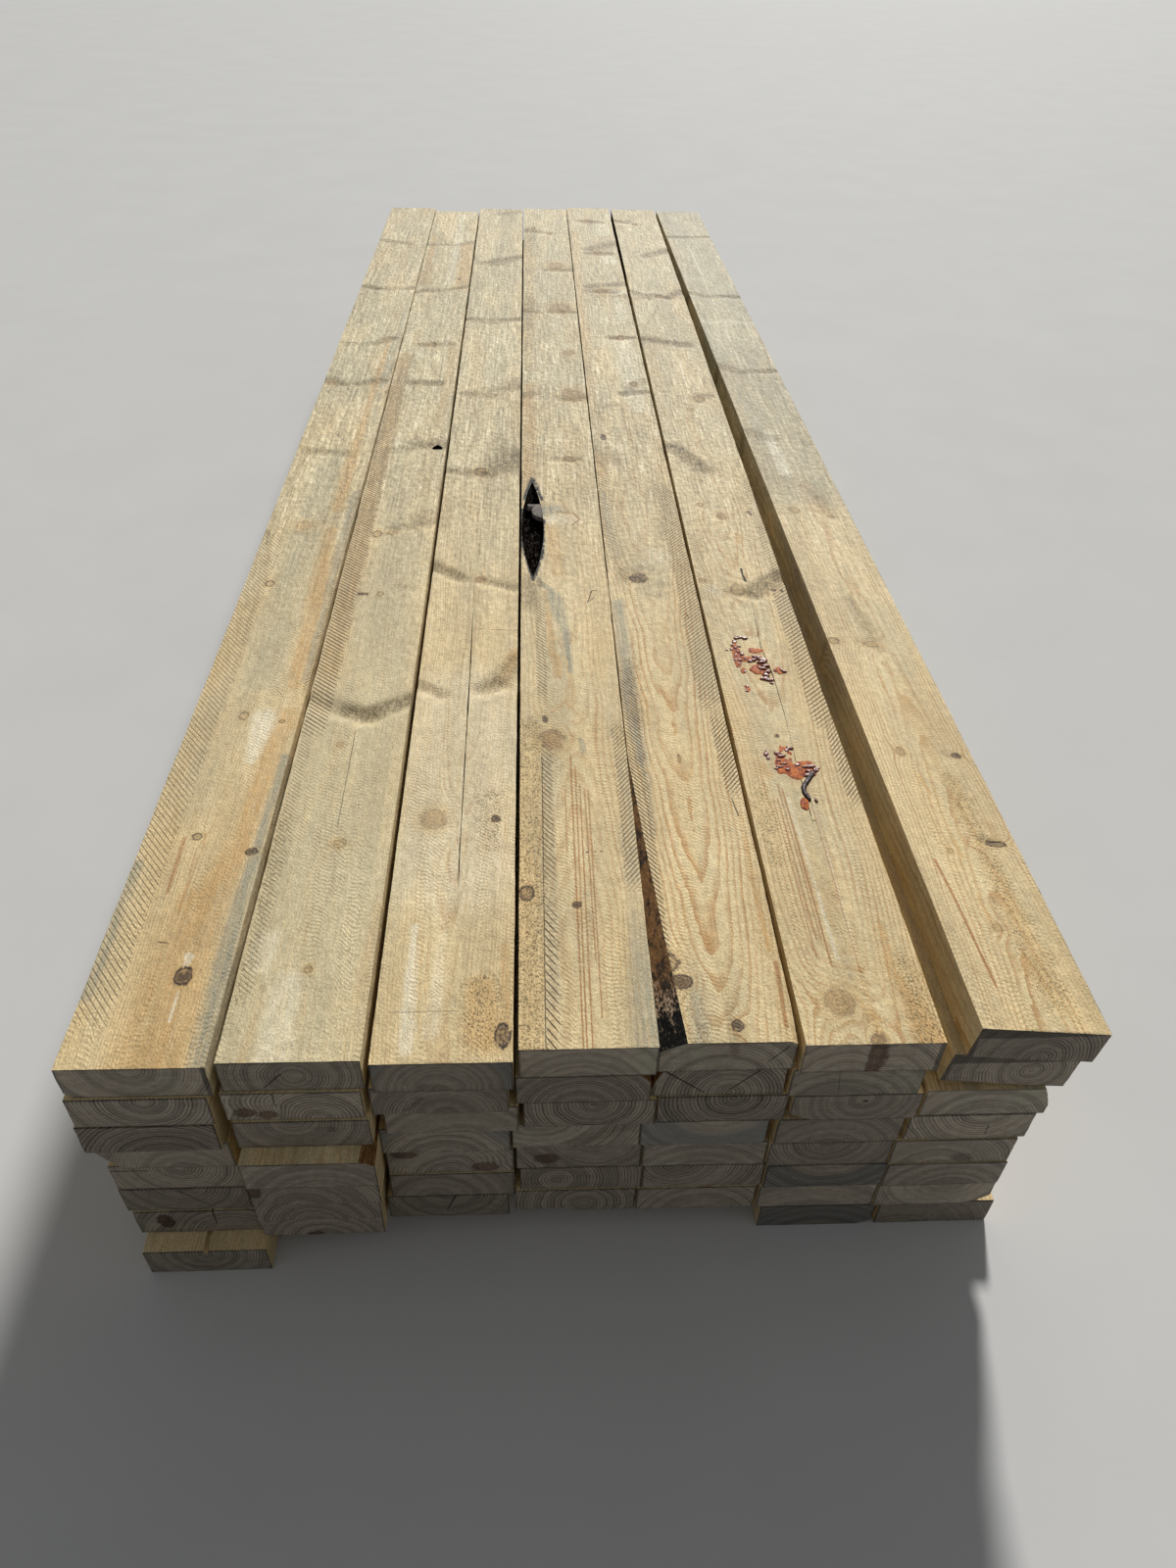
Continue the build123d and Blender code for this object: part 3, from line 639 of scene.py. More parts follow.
class PlankWoodSettings(bpy.types.PropertyGroup):
    """Colours of the sawn wood and of what is on it."""

    earlywood: colour_setting("Earlywood", "Pale wood between the rings", 224, 203, 157)
    latewood: colour_setting("Latewood", "Dark part of each ring", 184, 138, 84)
    warm_wood: colour_setting("Warm wood", "Yellower patches of heartwood", 206, 172, 112)
    # Weathered grey wood; the greying towards the back of the top tier is also painted sheen of glancing
    # light
    grey_wood_and_sheen: colour_setting("Weathered wood", "Patches that rain has greyed", 197, 188, 155)
    # Pale wood, scrapes and splinters, and also painted highlights on the rims of whorls' hollows and on
    # pale streaks of the weathered back
    pale_wood_and_highlight: colour_setting("Pale wood", "Bare pale patches, scrapes and splinters", 242, 234, 208)
    orange_stain: colour_setting("Resin streak", "Orange-brown streaks of resinous wood", 200, 158, 98)
    blue_stain: colour_setting("Blue stain", "Grey-blue stain of the sapwood", 152, 150, 132)
    # Dark wood by the whorls, together with painted shade on the slopes of their hollows and on dark streaks
    # of the weathered back
    dark_wood_and_painted_shade: colour_setting("Whorl", "Darker wood where branches grew", 128, 110, 74)
    ring_line: colour_setting("Ring line", "Single resinous ring lines", 166, 112, 60)
    # The dark of the feed marks is painted shade in their grooves
    tick: colour_setting("Feed mark", "Bottom of the short marks that the saw's feed leaves", 66, 48, 30)
    knot: colour_setting("Knot", "Wood of a sound knot", 172, 140, 96)
    knot_rim: colour_setting("Knot rim", "Bark ring and heart of a dead knot", 72, 56, 46)
    # The dark inside a crack is painted shade there
    crack: colour_setting("Crack", "Inside of a drying crack", 48, 36, 26)
    split: colour_setting("Split", "Paler fibre in an open drying split", 96, 66, 44)
    # The end colours are darker and greyer than the faces: partly the end grain's own tone, partly painted
    # shade of ends that face away from the main light
    end_wood_and_shade: colour_setting("End grain", "Wood of the sawn ends", 160, 150, 134)
    end_rings: colour_setting("End rings", "Dark rings on the sawn ends", 80, 66, 54)
    end_knot: colour_setting("End knot", "Knots on the sawn ends", 92, 68, 52)
    end_blue: colour_setting("End sapwood", "Blue-stained sapwood on the sawn ends", 104, 112, 114)
    bark: colour_setting("Bark", "Dead bark left in pockets and on wane", 11, 9, 8)
    bark_rags: colour_setting("Bark rags", "Paler rags in the dead bark", 92, 84, 76)
    torn_bark: colour_setting("Torn bark", "Pale fibre where the bark tore off", 176, 150, 124)
    inner_bark: colour_setting("Inner bark", "Brown fibre on the round of the log", 134, 98, 60)
    dark_fibre: colour_setting("Dark fibre", "Darker strands of that fibre", 78, 54, 36)
    stained_fibre: colour_setting("Stained fibre", "That fibre where bark has stained it", 52, 42, 34)
    stub: colour_setting("Branch stub", "Grey dead wood of the branch stub", 146, 138, 131)
    stub_shade: colour_setting("Stub shade", "Darker strands of the branch stub", 112, 104, 98)
    resin: colour_setting("Resin", "Reddish-brown dried resin", 104, 38, 20)
    resin_crust: colour_setting("Resin crust", "Paler crust on the dried resin", 134, 66, 44)
    resin_tail: colour_setting("Resin tail", "Nearly black run of resin", 40, 26, 28)
    tail_crust: colour_setting("Tail crust", "Browner crust on that run", 58, 30, 26)
    resin_film: colour_setting("Resin film", "Amber film round the dried resin", 196, 108, 34)
    film_shade: colour_setting("Film shade", "Thicker parts of that film", 128, 46, 18)


class PlankSurfaceSettings(bpy.types.PropertyGroup):
    """How finely the planks are divided and how rough they are."""

    lower_spacing: length_setting(
        "Lower cut spacing", "Distance between cross cuts of a lower plank's mesh", 0.06, 0.02, 0.5)
    top_spacing: length_setting(
        "Top cut spacing", "Distance between cross cuts of a top plank's mesh", 0.028, 0.01, 0.5)
    lower_levels: IntProperty(
        name="Lower levels", description="Times that a lower plank's mesh is divided",
        default=1, min=0, max=3)
    top_levels: IntProperty(
        name="Top levels", description="Times that a top plank's mesh is divided",
        default=2, min=0, max=3)
    edge_round: length_setting("Edge round", "Width of the broken edge along each corner", 0.0012, 0, 0.01)
    wave_size: length_setting("Wave size", "Length of the waves that sawing and drying leave", 0.09, 0.01, 1)
    wave_height: length_setting("Wave height", "Height of those waves", 0.0018, 0, 0.01)
    tear_size: length_setting("Tear size", "Size of torn spots", 0.013, 0.002, 0.1)
    tear_height: length_setting("Tear height", "Depth of torn spots", 0.0011, 0, 0.005)


class PlankStageSettings(bpy.types.PropertyGroup):
    """Floor, lights and camera."""

    floor_size: length_setting("Floor size", "Side of the square floor", 90, 10, 500)
    floor_colour: FloatVectorProperty(
        name="Floor", description="Colour of the floor", subtype="COLOR",
        default=(0.56, 0.56, 0.555), min=0, max=1)
    sky_strength: FloatProperty(
        name="Surrounding light", description="Strength of the even light from all sides",
        default=0.22, min=0, max=3)
    sky_shown: FloatProperty(
        name="Backdrop", description="How bright the surroundings show behind the stack",
        default=0.62, min=0, max=1)
    key_strength: FloatProperty(
        name="Main light", description="Strength of the light from behind the stack",
        default=4.75, min=0, max=50)
    key_height: angle_setting("Main light height", "How high the main light stands", 29)
    key_side: angle_setting(
        "Main light side", "How far the main light stands to the right of straight behind", 14)
    key_softness: angle_setting("Main light softness", "Angle that the main light fills", 7)
    camera_place: FloatVectorProperty(
        name="Camera place", description="Where the camera stands", subtype="XYZ", unit="LENGTH",
        default=(-0.0646, -2.4945, 1.3586))
    camera_pan: angle_setting("Camera pan", "Turn of the camera to the right", 3.786)
    camera_tilt: angle_setting("Camera tilt", "How far the camera looks down", 40.576)
    camera_roll: angle_setting("Camera roll", "Lean of the camera", 2.095)
    camera_lens: FloatProperty(
        name="Camera lens", description="Focal length in millimetres on a 36 mm high picture",
        default=24.797, min=1, max=500)


class Value:
    """What a node gives. A sum or a product with it adds a math node, and is what that node gives."""

    def __init__(self, socket):
        self.socket = socket
        self.tree = socket.id_data

    def __add__(self, other):
        return calculate("ADD", self, other)

    def __sub__(self, other):
        return calculate("SUBTRACT", self, other)

    def __rsub__(self, other):
        return calculate("SUBTRACT", other, self)

    def __mul__(self, other):
        if is_vector(self) == is_vector(other):
            return calculate("MULTIPLY", self, other)
        vector, factor = (self, other) if is_vector(self) else (other, self)
        inputs = {0: vector, "Scale": factor}
        return add_node(self.tree, "ShaderNodeVectorMath", inputs, "Vector", operation="SCALE")

    def __truediv__(self, other):
        return calculate("DIVIDE", self, other)

    def __abs__(self):
        return calculate("ABSOLUTE", self)

    __radd__ = __add__
    __rmul__ = __mul__


def is_vector(value):
    """Whether a value is a place, a direction or a colour and not one number."""
    return value.socket.type != "VALUE" if isinstance(value, Value) else isinstance(value, tuple)


def feed(node, inputs):
    """Give a node its inputs, by place or name: plain values, or what other nodes give."""
    for name, value in inputs.items():
        if isinstance(value, Value):
            value.tree.links.new(value.socket, node.inputs[name])
        else:
            node.inputs[name].default_value = value


def add_node(tree, kind, inputs, output=0, **settings):
    """Add a node with these inputs and settings, and give one of its outputs."""
    node = tree.nodes.new(kind)
    for name, setting in settings.items():
        setattr(node, name, setting)
    feed(node, inputs)
    return Value(node.outputs[output])


def calculate(operation, *values):
    """The result of a math node, or of a vector math node where the values are places or colours."""
    tree = next(value.tree for value in values if isinstance(value, Value))
    inputs = dict(enumerate(values))
    if not is_vector(values[0]):
        return add_node(tree, "ShaderNodeMath", inputs, operation=operation)
    output = "Value" if operation in ("LENGTH", "DOT_PRODUCT") else "Vector"
    return add_node(tree, "ShaderNodeVectorMath", inputs, output, operation=operation)


def parts(vector):
    """The three parts of a place, a direction or a colour."""
    first = add_node(vector.tree, "ShaderNodeSeparateXYZ", {0: vector})
    return [Value(socket) for socket in first.socket.node.outputs]


def noise(place, detail, roughness=0.5, output="Fac"):
    """Soft noise with spots about one unit of the place long."""
    inputs = {"Vector": place, "Scale": 1.0, "Detail": detail, "Roughness": roughness}
    return add_node(place.tree, "ShaderNodeTexNoise", inputs, output)


def spots(place, across, along, detail, roughness=0.5, output="Fac", shift=None):
    """Noise with spots of this size across and along the plank."""
    sized = place * (1 / across, 1 / along, 1 / across)
    return noise(sized if shift is None else sized + shift, detail, roughness, output)


def chance(number):
    """A different even chance from 0 to 1 for each whole number."""
    return add_node(number.tree, "ShaderNodeTexWhiteNoise", {"W": number}, "Value", noise_dimensions="1D")


def ease(value, low, high, to_low=0.0, to_high=1.0):
    """Goes smoothly from to_low at low to to_high at high, and no further."""
    inputs = {"Value": value, "From Min": low, "From Max": high, "To Min": to_low, "To Max": to_high}
    return add_node(value.tree, "ShaderNodeMapRange", inputs, interpolation_type="SMOOTHSTEP")


def blend(share, first, second):
    """The first colour where the share is 0, and the second where it is 1."""
    first, second = (colour if isinstance(colour, Value) else (*colour, 1) for colour in (first, second))
    return add_node(share.tree, "ShaderNodeMix", {0: share, 6: first, 7: second}, 2, data_type="RGBA")


def new_group(name, vectors, numbers):
    """An empty node group with these inputs, and what they give inside it, by name."""
    group = bpy.data.node_groups.new(name, "ShaderNodeTree")
    for kind, names in (("NodeSocketVector", vectors), ("NodeSocketFloat", numbers)):
        for input_name in names:
            group.interface.new_socket(input_name, in_out="INPUT", socket_type=kind)
    entry = group.nodes.new("NodeGroupInput")
    return group, {input_name: Value(entry.outputs[input_name]) for input_name in vectors + numbers}


def close_group(group, results):
    """Give a node group these results as its outputs."""
    for name, value in results.items():
        kind = "NodeSocketColor" if is_vector(value) else "NodeSocketFloat"
        group.interface.new_socket(name, in_out="OUTPUT", socket_type=kind)
    feed(group.nodes.new("NodeGroupOutput"), results)
    return group


def use_group(tree, group, inputs):
    """Add a node group with these inputs, and give what it gives, by name."""
    node = tree.nodes.new("ShaderNodeGroup")
    node.node_tree = group
    feed(node, inputs)
    return {socket.name: Value(socket) for socket in node.outputs}


def knot_group():
    """One knot: how it turns the grain aside, its fill, its dark rim and heart, and the shade round it."""
    name = "Knot"
    if name in bpy.data.node_groups:
        return bpy.data.node_groups[name]
    group, knot = new_group(
        name, ("Position", "Centre", "Size"),
        ("Sound", "Dark", "Ragged", "Swirl", "Fill", "Rim", "Halo", "Turns"))
    reach = calculate("LENGTH", (knot["Position"] - knot["Centre"]) / knot["Size"])
    fall = calculate("EXPONENT", reach * reach * -0.2)
    push = fall * parts(knot["Size"])[0] * 0.85
    rough = reach + (knot["Ragged"] - 0.5) * 0.9
    fill = ease(rough, 1.2, 0.8) * knot["Sound"]
    rim = ease(rough, 0.6, 0.95) * ease(rough, 1.35, 1.0)
    heart = ease(rough, 1.1, 0.5) * ease(knot["Dark"], 0.75, 1.0, 0.0, 0.85)
    dark = calculate("MAXIMUM", rim, heart) * knot["Dark"]
    halo = ease(reach, 2.4, 0.9) * 0.45
    turns = ease(reach, 1.9, 0.9) * calculate("SINE", rough * 17.0)
    return close_group(group, {
        "Swirl": knot["Swirl"] + push,
        "Fill": calculate("MAXIMUM", knot["Fill"], fill),
        "Rim": calculate("MAXIMUM", knot["Rim"], dark),
        "Halo": calculate("MAXIMUM", knot["Halo"], halo),
        "Turns": knot["Turns"] + turns,
    })


def streak_group():
    """One straight streak between two points, wider or narrower towards its end."""
    name = "Streak"
    if name in bpy.data.node_groups:
        return bpy.data.node_groups[name]
    group, streak = new_group(
        name, ("Position", "Start", "End"), ("Start width", "End width", "Strength", "Soft", "Mark"))
    run = streak["End"] - streak["Start"]
    offset = streak["Position"] - streak["Start"]
    along = calculate("DOT_PRODUCT", offset, run) / calculate("DOT_PRODUCT", run, run)
    along = calculate("MINIMUM", calculate("MAXIMUM", along, 0.0), 1.0)
    away = calculate("LENGTH", offset - run * along)
    width = streak["Start width"] + (streak["End width"] - streak["Start width"]) * along
    mark = ease(away / width, 1.0 + streak["Soft"], 1.0 - streak["Soft"]) * streak["Strength"]
    return close_group(group, {"Mark": calculate("MAXIMUM", streak["Mark"], mark)})


def sawn_wood_group(wood):
    """Rough-sawn softwood: rings round the pith, fibres, fuzz and saw marks, with plainer end grain."""
    name = "Sawn softwood"
    if name in bpy.data.node_groups:
        return bpy.data.node_groups[name]
    group, plank = new_group(
        name, ("Position", "Pith"),
        ("Ring width", "Lean", "Contrast", "Warm", "Seed", "Swirl", "Pits", "End contrast", "Sapwood"))
    place = plank["Position"]
    x, y, z = parts(place)
    shift = plank["Seed"] * (37.1, 11.3, 23.9)

    # Noise, in millimetres across and along: waves of the grain, blotches of tone, fibres, fuzz and clumps
    slow = spots(place, 4000, 560, 2.0, 0.55, "Color", shift)
    quick = parts(spots(place, 24, 210, 3.0, 0.55, "Color", shift))
    blotch = parts(spots(place, 52, 340, 4.0, 0.6, "Color", shift))
    fibre = spots(place, 0.9, 15, 2.0, 0.6, shift=shift)
    fuzz = spots(place, 1.9, 3.2, 3.0, 0.7, shift=shift)
    clump = spots(place, 9, 15, 3.0, 0.65, shift=shift)
    broad = spots(place, 4, 95, 3.0, 0.65, shift=shift)
    far = ease(y, FRESH_TO, WEATHERED_AND_SHEEN_FROM)

    # Rings round the wandering pith, some of them much fainter than others
    drift = (slow - (0.5, 0.5, 0.5)) * (40.0, 0.0, 34.0)
    radius = calculate("LENGTH", (place - plank["Pith"]) * (1.0, 0.0, 1.0) + drift)
    taper = calculate("MINIMUM", y, 1100.0) * plank["Lean"]
    radius = radius + taper + ((quick[0] - 0.5) * 6.0 + plank["Swirl"])
    turn = radius / plank["Ring width"]
    ring = calculate("FRACT", turn)
    strong = chance(calculate("FLOOR", turn) + plank["Seed"])
    late = ease(ring, 0.38, 0.9) * ease(ring, 1.0, 0.94) * (0.42 + strong * 0.58)

    # Tone: ring colours, warm blotches at the front, and further back greyer wood, partly weathering and
    # partly painted sheen, and pale and dark fibres, partly painted highlights and shade of glancing light
    side_late = late * ease(quick[1], 0.36, 0.56, 0.55, 1.0)
    colour = blend(side_late * plank["Contrast"], wood.earlywood, wood.latewood)
    warm = ease(blotch[0], 0.42, 0.66) * plank["Warm"] * ease(y, FRESH_TO, WEATHERED_AND_SHEEN_FROM, 1.0, 0.4)
    colour = blend(warm, colour, wood.warm_wood)
    # Greyer towards the back: weathering, and painted sheen of light glancing off the far part
    weathered_and_sheen = ease(y, FRESH_TO, 2100.0, 0.0, 0.75) * ease(blotch[0], 0.66, 0.4, 0.4, 1.0)
    grey = calculate("MAXIMUM", ease(blotch[1], 0.46, 0.68, 0.0, 0.35), weathered_and_sheen)
    colour = blend(grey, colour, wood.grey_wood_and_sheen)
    # Pale and dark streaks further back: partly fibre, partly painted highlight and shade of glancing light
    colour = blend(ease(broad, 0.54, 0.7, 0.0, 0.55) * far, colour, wood.pale_wood_and_highlight)
    colour = blend(ease(broad, 0.46, 0.3, 0.0, 0.35) * far, colour, wood.dark_wood_and_painted_shade)
    colour = blend(plank["Pits"] * 0.35, colour, wood.warm_wood)

    # Light and shade of fibres, fuzz, clumps, torn pits and the saw's slanted lines
    bent = y + x * ease(y, FRESH_TO, 1500.0, 0.5, 0.06) + blotch[2] * 70.0
    saw = calculate("SINE", bent * (2 * math.pi / 6.4)) * ease(quick[2], 0.42, 0.62)
    pit = ease(fuzz, 0.46, 0.37) * ease(clump, 0.66, 0.46) * plank["Pits"]
    light = ease(fibre, 0.28, 0.72, 0.86, 1.1)
    light = light * (0.97 + (fuzz - 0.5) * ease(y, FRESH_TO, WEATHERED_AND_SHEEN_FROM, 0.95, 0.4))
    light = light * (1.0 + (clump - 0.5) * (0.4 + far * 0.9))
    light = light * (1.0 + (broad - 0.5) * (0.35 + far * 0.75))
    light = light * ease(blotch[2], 0.3, 0.7, 0.87, 1.09)
    light = light * (1.0 + saw * (0.05 + far * 0.1))
    light = light * (1.0 - pit * 0.55)

    # End grain: darker and greyer, partly its own tone and partly painted shade, as the ends face away from
    # the main light; painted shade along its edges, where the planks meet; with the blade's scratches across
    # it
    facing = abs(parts(add_node(group, "ShaderNodeNewGeometry", {}, "Normal"))[1])
    end = ease(facing, 0.3, 0.6)
    scratch = noise(place * (1 / 34.0, 0.0, 1 / 1.3) + shift, 3.0, 0.6)
    band = add_node(group, "ShaderNodeCombineXYZ", {0: radius * 0.11, 1: plank["Seed"]})
    half_width, half_height = PLANK_WIDTH / MM / 2, PLANK_THICKNESS / MM / 2
    inset = calculate("MINIMUM", half_width - abs(x - half_width), half_height - abs(z - half_height))
    end_light = ease(scratch, 0.25, 0.75, 0.8, 1.06) * ease(clump, 0.3, 0.7, 0.88, 1.08)
    end_light = end_light * ease(noise(band, 1.0), 0.35, 0.65, 0.8, 1.18)
    end_light = end_light * (0.72 + chance(plank["Seed"] + 5.3) * 0.42)
    # Painted shade along the edges of each end, where the planks meet
    end_light = end_light * ease(inset, 0.3, 2.6, 0.4, 1.0)
    sap = ease(radius - plank["Sapwood"], 0.0, 12.0) * ease(clump, 0.3, 0.6, 0.3, 0.7)
    end_colour = blend(sap, wood.end_wood_and_shade, wood.end_blue)
    end_colour = blend(late * plank["End contrast"], end_colour, wood.end_rings)

    height = fibre * 0.5 + fuzz * 1.3 + clump * (1.6 + far * 3.0) + saw * 0.16 - pit * 0.9
    return close_group(group, {
        "Color": blend(end, colour, end_colour),
        "Light": light * (1.0 - end) + end_light * end,
        "Height": height,
        "End": end,
        "Patchy": ease(clump, 0.28, 0.6, 0.35, 1.0),
    })


def plank_lines(piece):
    """The plank's origin at its lower front left corner and its turn about the upright, from its mesh."""
    places = [vertex.co for vertex in piece.data.vertices]
    front = min(place.y for place in places)
    back = max(place.y for place in places)
    sides = []
    for end in (front, back):
        near = [place for place in places if abs(place.y - end) < 3 * MM]
        middle = (min(place.z for place in near) + max(place.z for place in near)) / 2
        sides.append(min(place.x for place in near if place.z > middle))
    turn = math.atan2(sides[0] - sides[1], back - front)
    return Vector((sides[0], front, min(place.z for place in places))), turn


def new_material(name):
    """A new material, its shader, and the place on the piece that its patterns are read at."""
    material = bpy.data.materials.new(name)
    material.use_nodes = True
    tree = material.node_tree
    return material, tree.nodes["Principled BSDF"], add_node(tree, "ShaderNodeTexCoord", {}, "Object")


def shade(shader, colour, roughness, gloss, height, strength, distance):
    """Join a shader's colour, roughness and gloss, and its bump from a height."""
    inputs = {"Strength": strength, "Distance": distance, "Height": height}
    bump = add_node(shader.id_data, "ShaderNodeBump", inputs, "Normal")
    feed(shader, {"Base Color": colour, "Roughness": roughness, "Specular IOR Level": gloss, "Normal": bump})


def feed_marks(place, patchy, mark):
    """How strongly the short slanted marks show that the saw's feed left beside one edge."""
    edge, side, slope, first, last, spacing, inset, width, strength = mark
    x, y, _ = parts(place)
    inwards = (x - edge) * side
    wave = calculate("FRACT", (y + inwards * slope) / spacing)
    line = ease(abs(wave - 0.5), 1.7 / spacing, 0.7 / spacing)
    ragged = inwards + patchy * 6.0
    reach = ease(ragged, inset + width + 5, inset + width - 2) * ease(inwards, inset - 1, inset + 1)
    run = ease(y, first - 25, first + 25) * ease(y, last + 40, last - 40)
    return line * reach * (run * strength) * ease(patchy, 0.35, 0.7, 0.75, 1.0)


def streak_marks(look, near, loose, side):
    """How strongly each kind of streak shows that the look has, on the faces and on the front end."""
    flat = {}
    for part, flatten in (("face", (1, 1, 0)), ("end", (1, 0.08, 1))):
        flat[part, True] = near * flatten
        flat[part, False] = loose * flatten
    marks = {}
    for channel in STREAK_CHANNELS:
        mark = 0.0
        for part in ("face", "end"):
            for start, end, first, last, strength in look[part].get(channel, []):
                fine = channel == "crack" or max(first, last) < FINE_STREAK
                mark = marks[channel] = use_group(near.tree, streak_group(), {
                    "Position": flat[part, fine], "Start": start, "End": end, "Start width": first,
                    "End width": last, "Strength": strength, "Soft": 0.45 if fine else 0.6,
                    "Mark": mark})["Mark"]
            if part == "face" and channel in marks:
                mark = marks[channel] = mark * side
    return marks


def plank_material(name, lines, look, wood):
    """Sawn wood for one plank, with its own knots, stains and cracks in the plank's own millimetres."""
    material, shader, place = new_material(name)
    tree = material.node_tree
    origin, turn = lines
    inputs = {"Vector": place, "Location": origin, "Rotation": (0, 0, turn), "Scale": (MM, MM, MM)}
    place = add_node(tree, "ShaderNodeMapping", inputs, vector_type="TEXTURE")
    wobble = spots(place, 6, 11, 3.0, 0.65, "Color")
    ragged = parts(wobble)[0]
    wobble = wobble - (0.5, 0.5, 0.5)
    loose = place + wobble * (9.0, 16.0, 5.0)
    near = place + wobble * (1.6, 2.4, 1.6)
    side = ease(abs(parts(add_node(tree, "ShaderNodeNewGeometry", {}, "Normal"))[1]), 0.8, 0.5)

    knots = dict.fromkeys(("Swirl", "Fill", "Rim", "Halo", "Turns"), 0.0)
    for centre, size, sound, dark in look["knots"]:
        knots = use_group(tree, knot_group(), {
            **knots, "Position": near, "Centre": centre, "Size": size, "Sound": sound, "Dark": dark,
            "Ragged": ragged})
    marks = streak_marks(look, near, loose, side)
    sawn = use_group(tree, sawn_wood_group(wood), {
        **look["grain"], "Position": place, "Swirl": knots["Swirl"], "Pits": marks.get("pits", 0.0)})
    colour, light, height, patchy = sawn["Color"], sawn["Light"], sawn["Height"], sawn["Patchy"]

    streaky = ease(spots(place, 4, 90, 3.0, 0.6), 0.3, 0.62, 0.4, 1.0)
    streaky = streaky * ease(patchy, 0.35, 0.8, 0.7, 1.0) * 0.92
    # Streaks over the wood: shade lays painted shade on the whorls' hollows and pale lays painted highlights
    # on their rims, along with real dark and pale wood
    stains = (
        ("orange", streaky, wood.orange_stain),
        ("blue", streaky, wood.blue_stain),
        ("grey", streaky, wood.grey_wood_and_sheen),
        ("pale", streaky, wood.pale_wood_and_highlight),
        ("brown", streaky, wood.end_rings),
        ("line", ease(patchy, 0.35, 0.8, 0.55, 0.85), wood.ring_line),
        ("shade", ease(spots(place, 3.2, 13, 2.0, 0.6), 0.36, 0.6, 0.35, 1.0), wood.dark_wood_and_painted_shade),
        ("black", ease(ragged, 0.62, 0.56, 0.35, 1.0), wood.bark),
    )
    for channel, cover, stain in stains:
        if channel in marks:
            colour = blend(marks[channel] * cover, colour, stain)
    if look["knots"]:
        colour = blend(knots["Halo"] * patchy * side, colour, wood.warm_wood)
        knot_light = ease(ragged, 0.3, 0.7, 0.86, 1.1) + knots["Turns"] * 0.17
        knot_light = knot_light * ease(parts(place)[1], 900.0, 1500.0, 1.0, 0.82)
        knot = blend(sawn["End"], wood.knot, wood.end_knot) * knot_light
        colour = blend(knots["Fill"] * 0.85, colour, knot)
        colour = blend(knots["Rim"] * ease(ragged, 0.56, 0.62, 1.0, 0.45), colour, wood.knot_rim)
        light = light + knots["Turns"] * 0.045
    # Cracks: painted shade inside them, and a groove in the bump
    if "crack" in marks:
        colour = blend(marks["crack"], colour, wood.crack)
        height = height - marks["crack"] * 2.0
    # Feed marks: painted shade in their grooves, and a groove in the bump
    for mark in look["ticks"]:
        share = feed_marks(place, patchy, mark) * side
        colour = blend(share * 0.95, colour, wood.tick)
        height = height - share * 1.5
    shade(shader, colour * light, 0.72, 0.25, height, 0.9, 0.9 * MM)
    return material


def bark_material(name, colour, second, size, gloss):
    """Dark, broken bark, the brown fibre under it, or the grey wood of a dead stub."""
    material, shader, place = new_material(name)
    place = place * (1000 / size, 1000 / (size * 4), 1000 / size)
    coarse = noise(place, 5.0, 0.7)
    fine = noise(place * 3.4, 4.0, 0.7)
    colour = blend(ease(fine, 0.52, 0.62) * ease(coarse, 0.44, 0.6), colour, second)
    colour = colour * ease(coarse, 0.3, 0.7, 0.6, 1.25)
    shade(shader, colour, ease(fine, 0.3, 0.7, 0.6, 0.95), gloss, coarse + fine * 0.5, 1.0, 2.5 * MM)
    return material


def wane_material(name, wood, front):
    """The round of the log: black bark at the front, pale rags at its torn edge and brown fibre behind."""
    material = bark_material(name, wood.inner_bark, wood.dark_fibre, 4.0, 0.1)
    tree = material.node_tree
    shader = tree.nodes["Principled BSDF"]
    fibres = Value(shader.inputs["Base Color"].links[0].from_socket)
    place = add_node(tree, "ShaderNodeTexCoord", {}, "Object")
    torn = noise(place * (90, 40, 90), 4.0, 0.7)
    flecks = noise(place * (420, 180, 420), 3.0, 0.65)
    edge = parts(place)[1] - front + (torn - 0.5) * 0.16
    stained = blend(ease(torn, 0.44, 0.62), fibres, wood.stained_fibre)
    bark = blend(ease(flecks, 0.6, 0.68), wood.bark, wood.bark_rags)
    rags = ease(edge, 0.03, 0.06) * ease(edge, 0.1, 0.07) * ease(flecks, 0.46, 0.56)
    colour = blend(ease(edge, 0.085, 0.06), stained, bark)
    feed(shader, {"Base Color": blend(rags, colour, wood.torn_bark)})
    return material


def resin_material(name, colour, second, roughness, gloss):
    """Dried resin: glossy, in two tones, wrinkled where it has run."""
    material, shader, place = new_material(name)
    coarse = noise(place * (160, 110, 160), 4.0, 0.65)
    fine = noise(place * (520, 400, 520), 3.0, 0.6)
    colour = blend(ease(coarse, 0.42, 0.6), colour, second) * ease(fine, 0.3, 0.7, 0.8, 1.15)
    roughness = ease(fine, 0.35, 0.65, roughness, roughness + 0.2)
    shade(shader, colour, roughness, gloss, coarse + fine * 0.35, 0.7, 0.8 * MM)
    return material


def deselect_all():
    """Leave edit mode and clear the selection, which the loaded nodes start in."""
    active = bpy.context.view_layer.objects.active
    if active is not None and active.mode != "OBJECT":
        bpy.ops.object.mode_set(mode="OBJECT")
    bpy.ops.object.select_all(action="DESELECT")


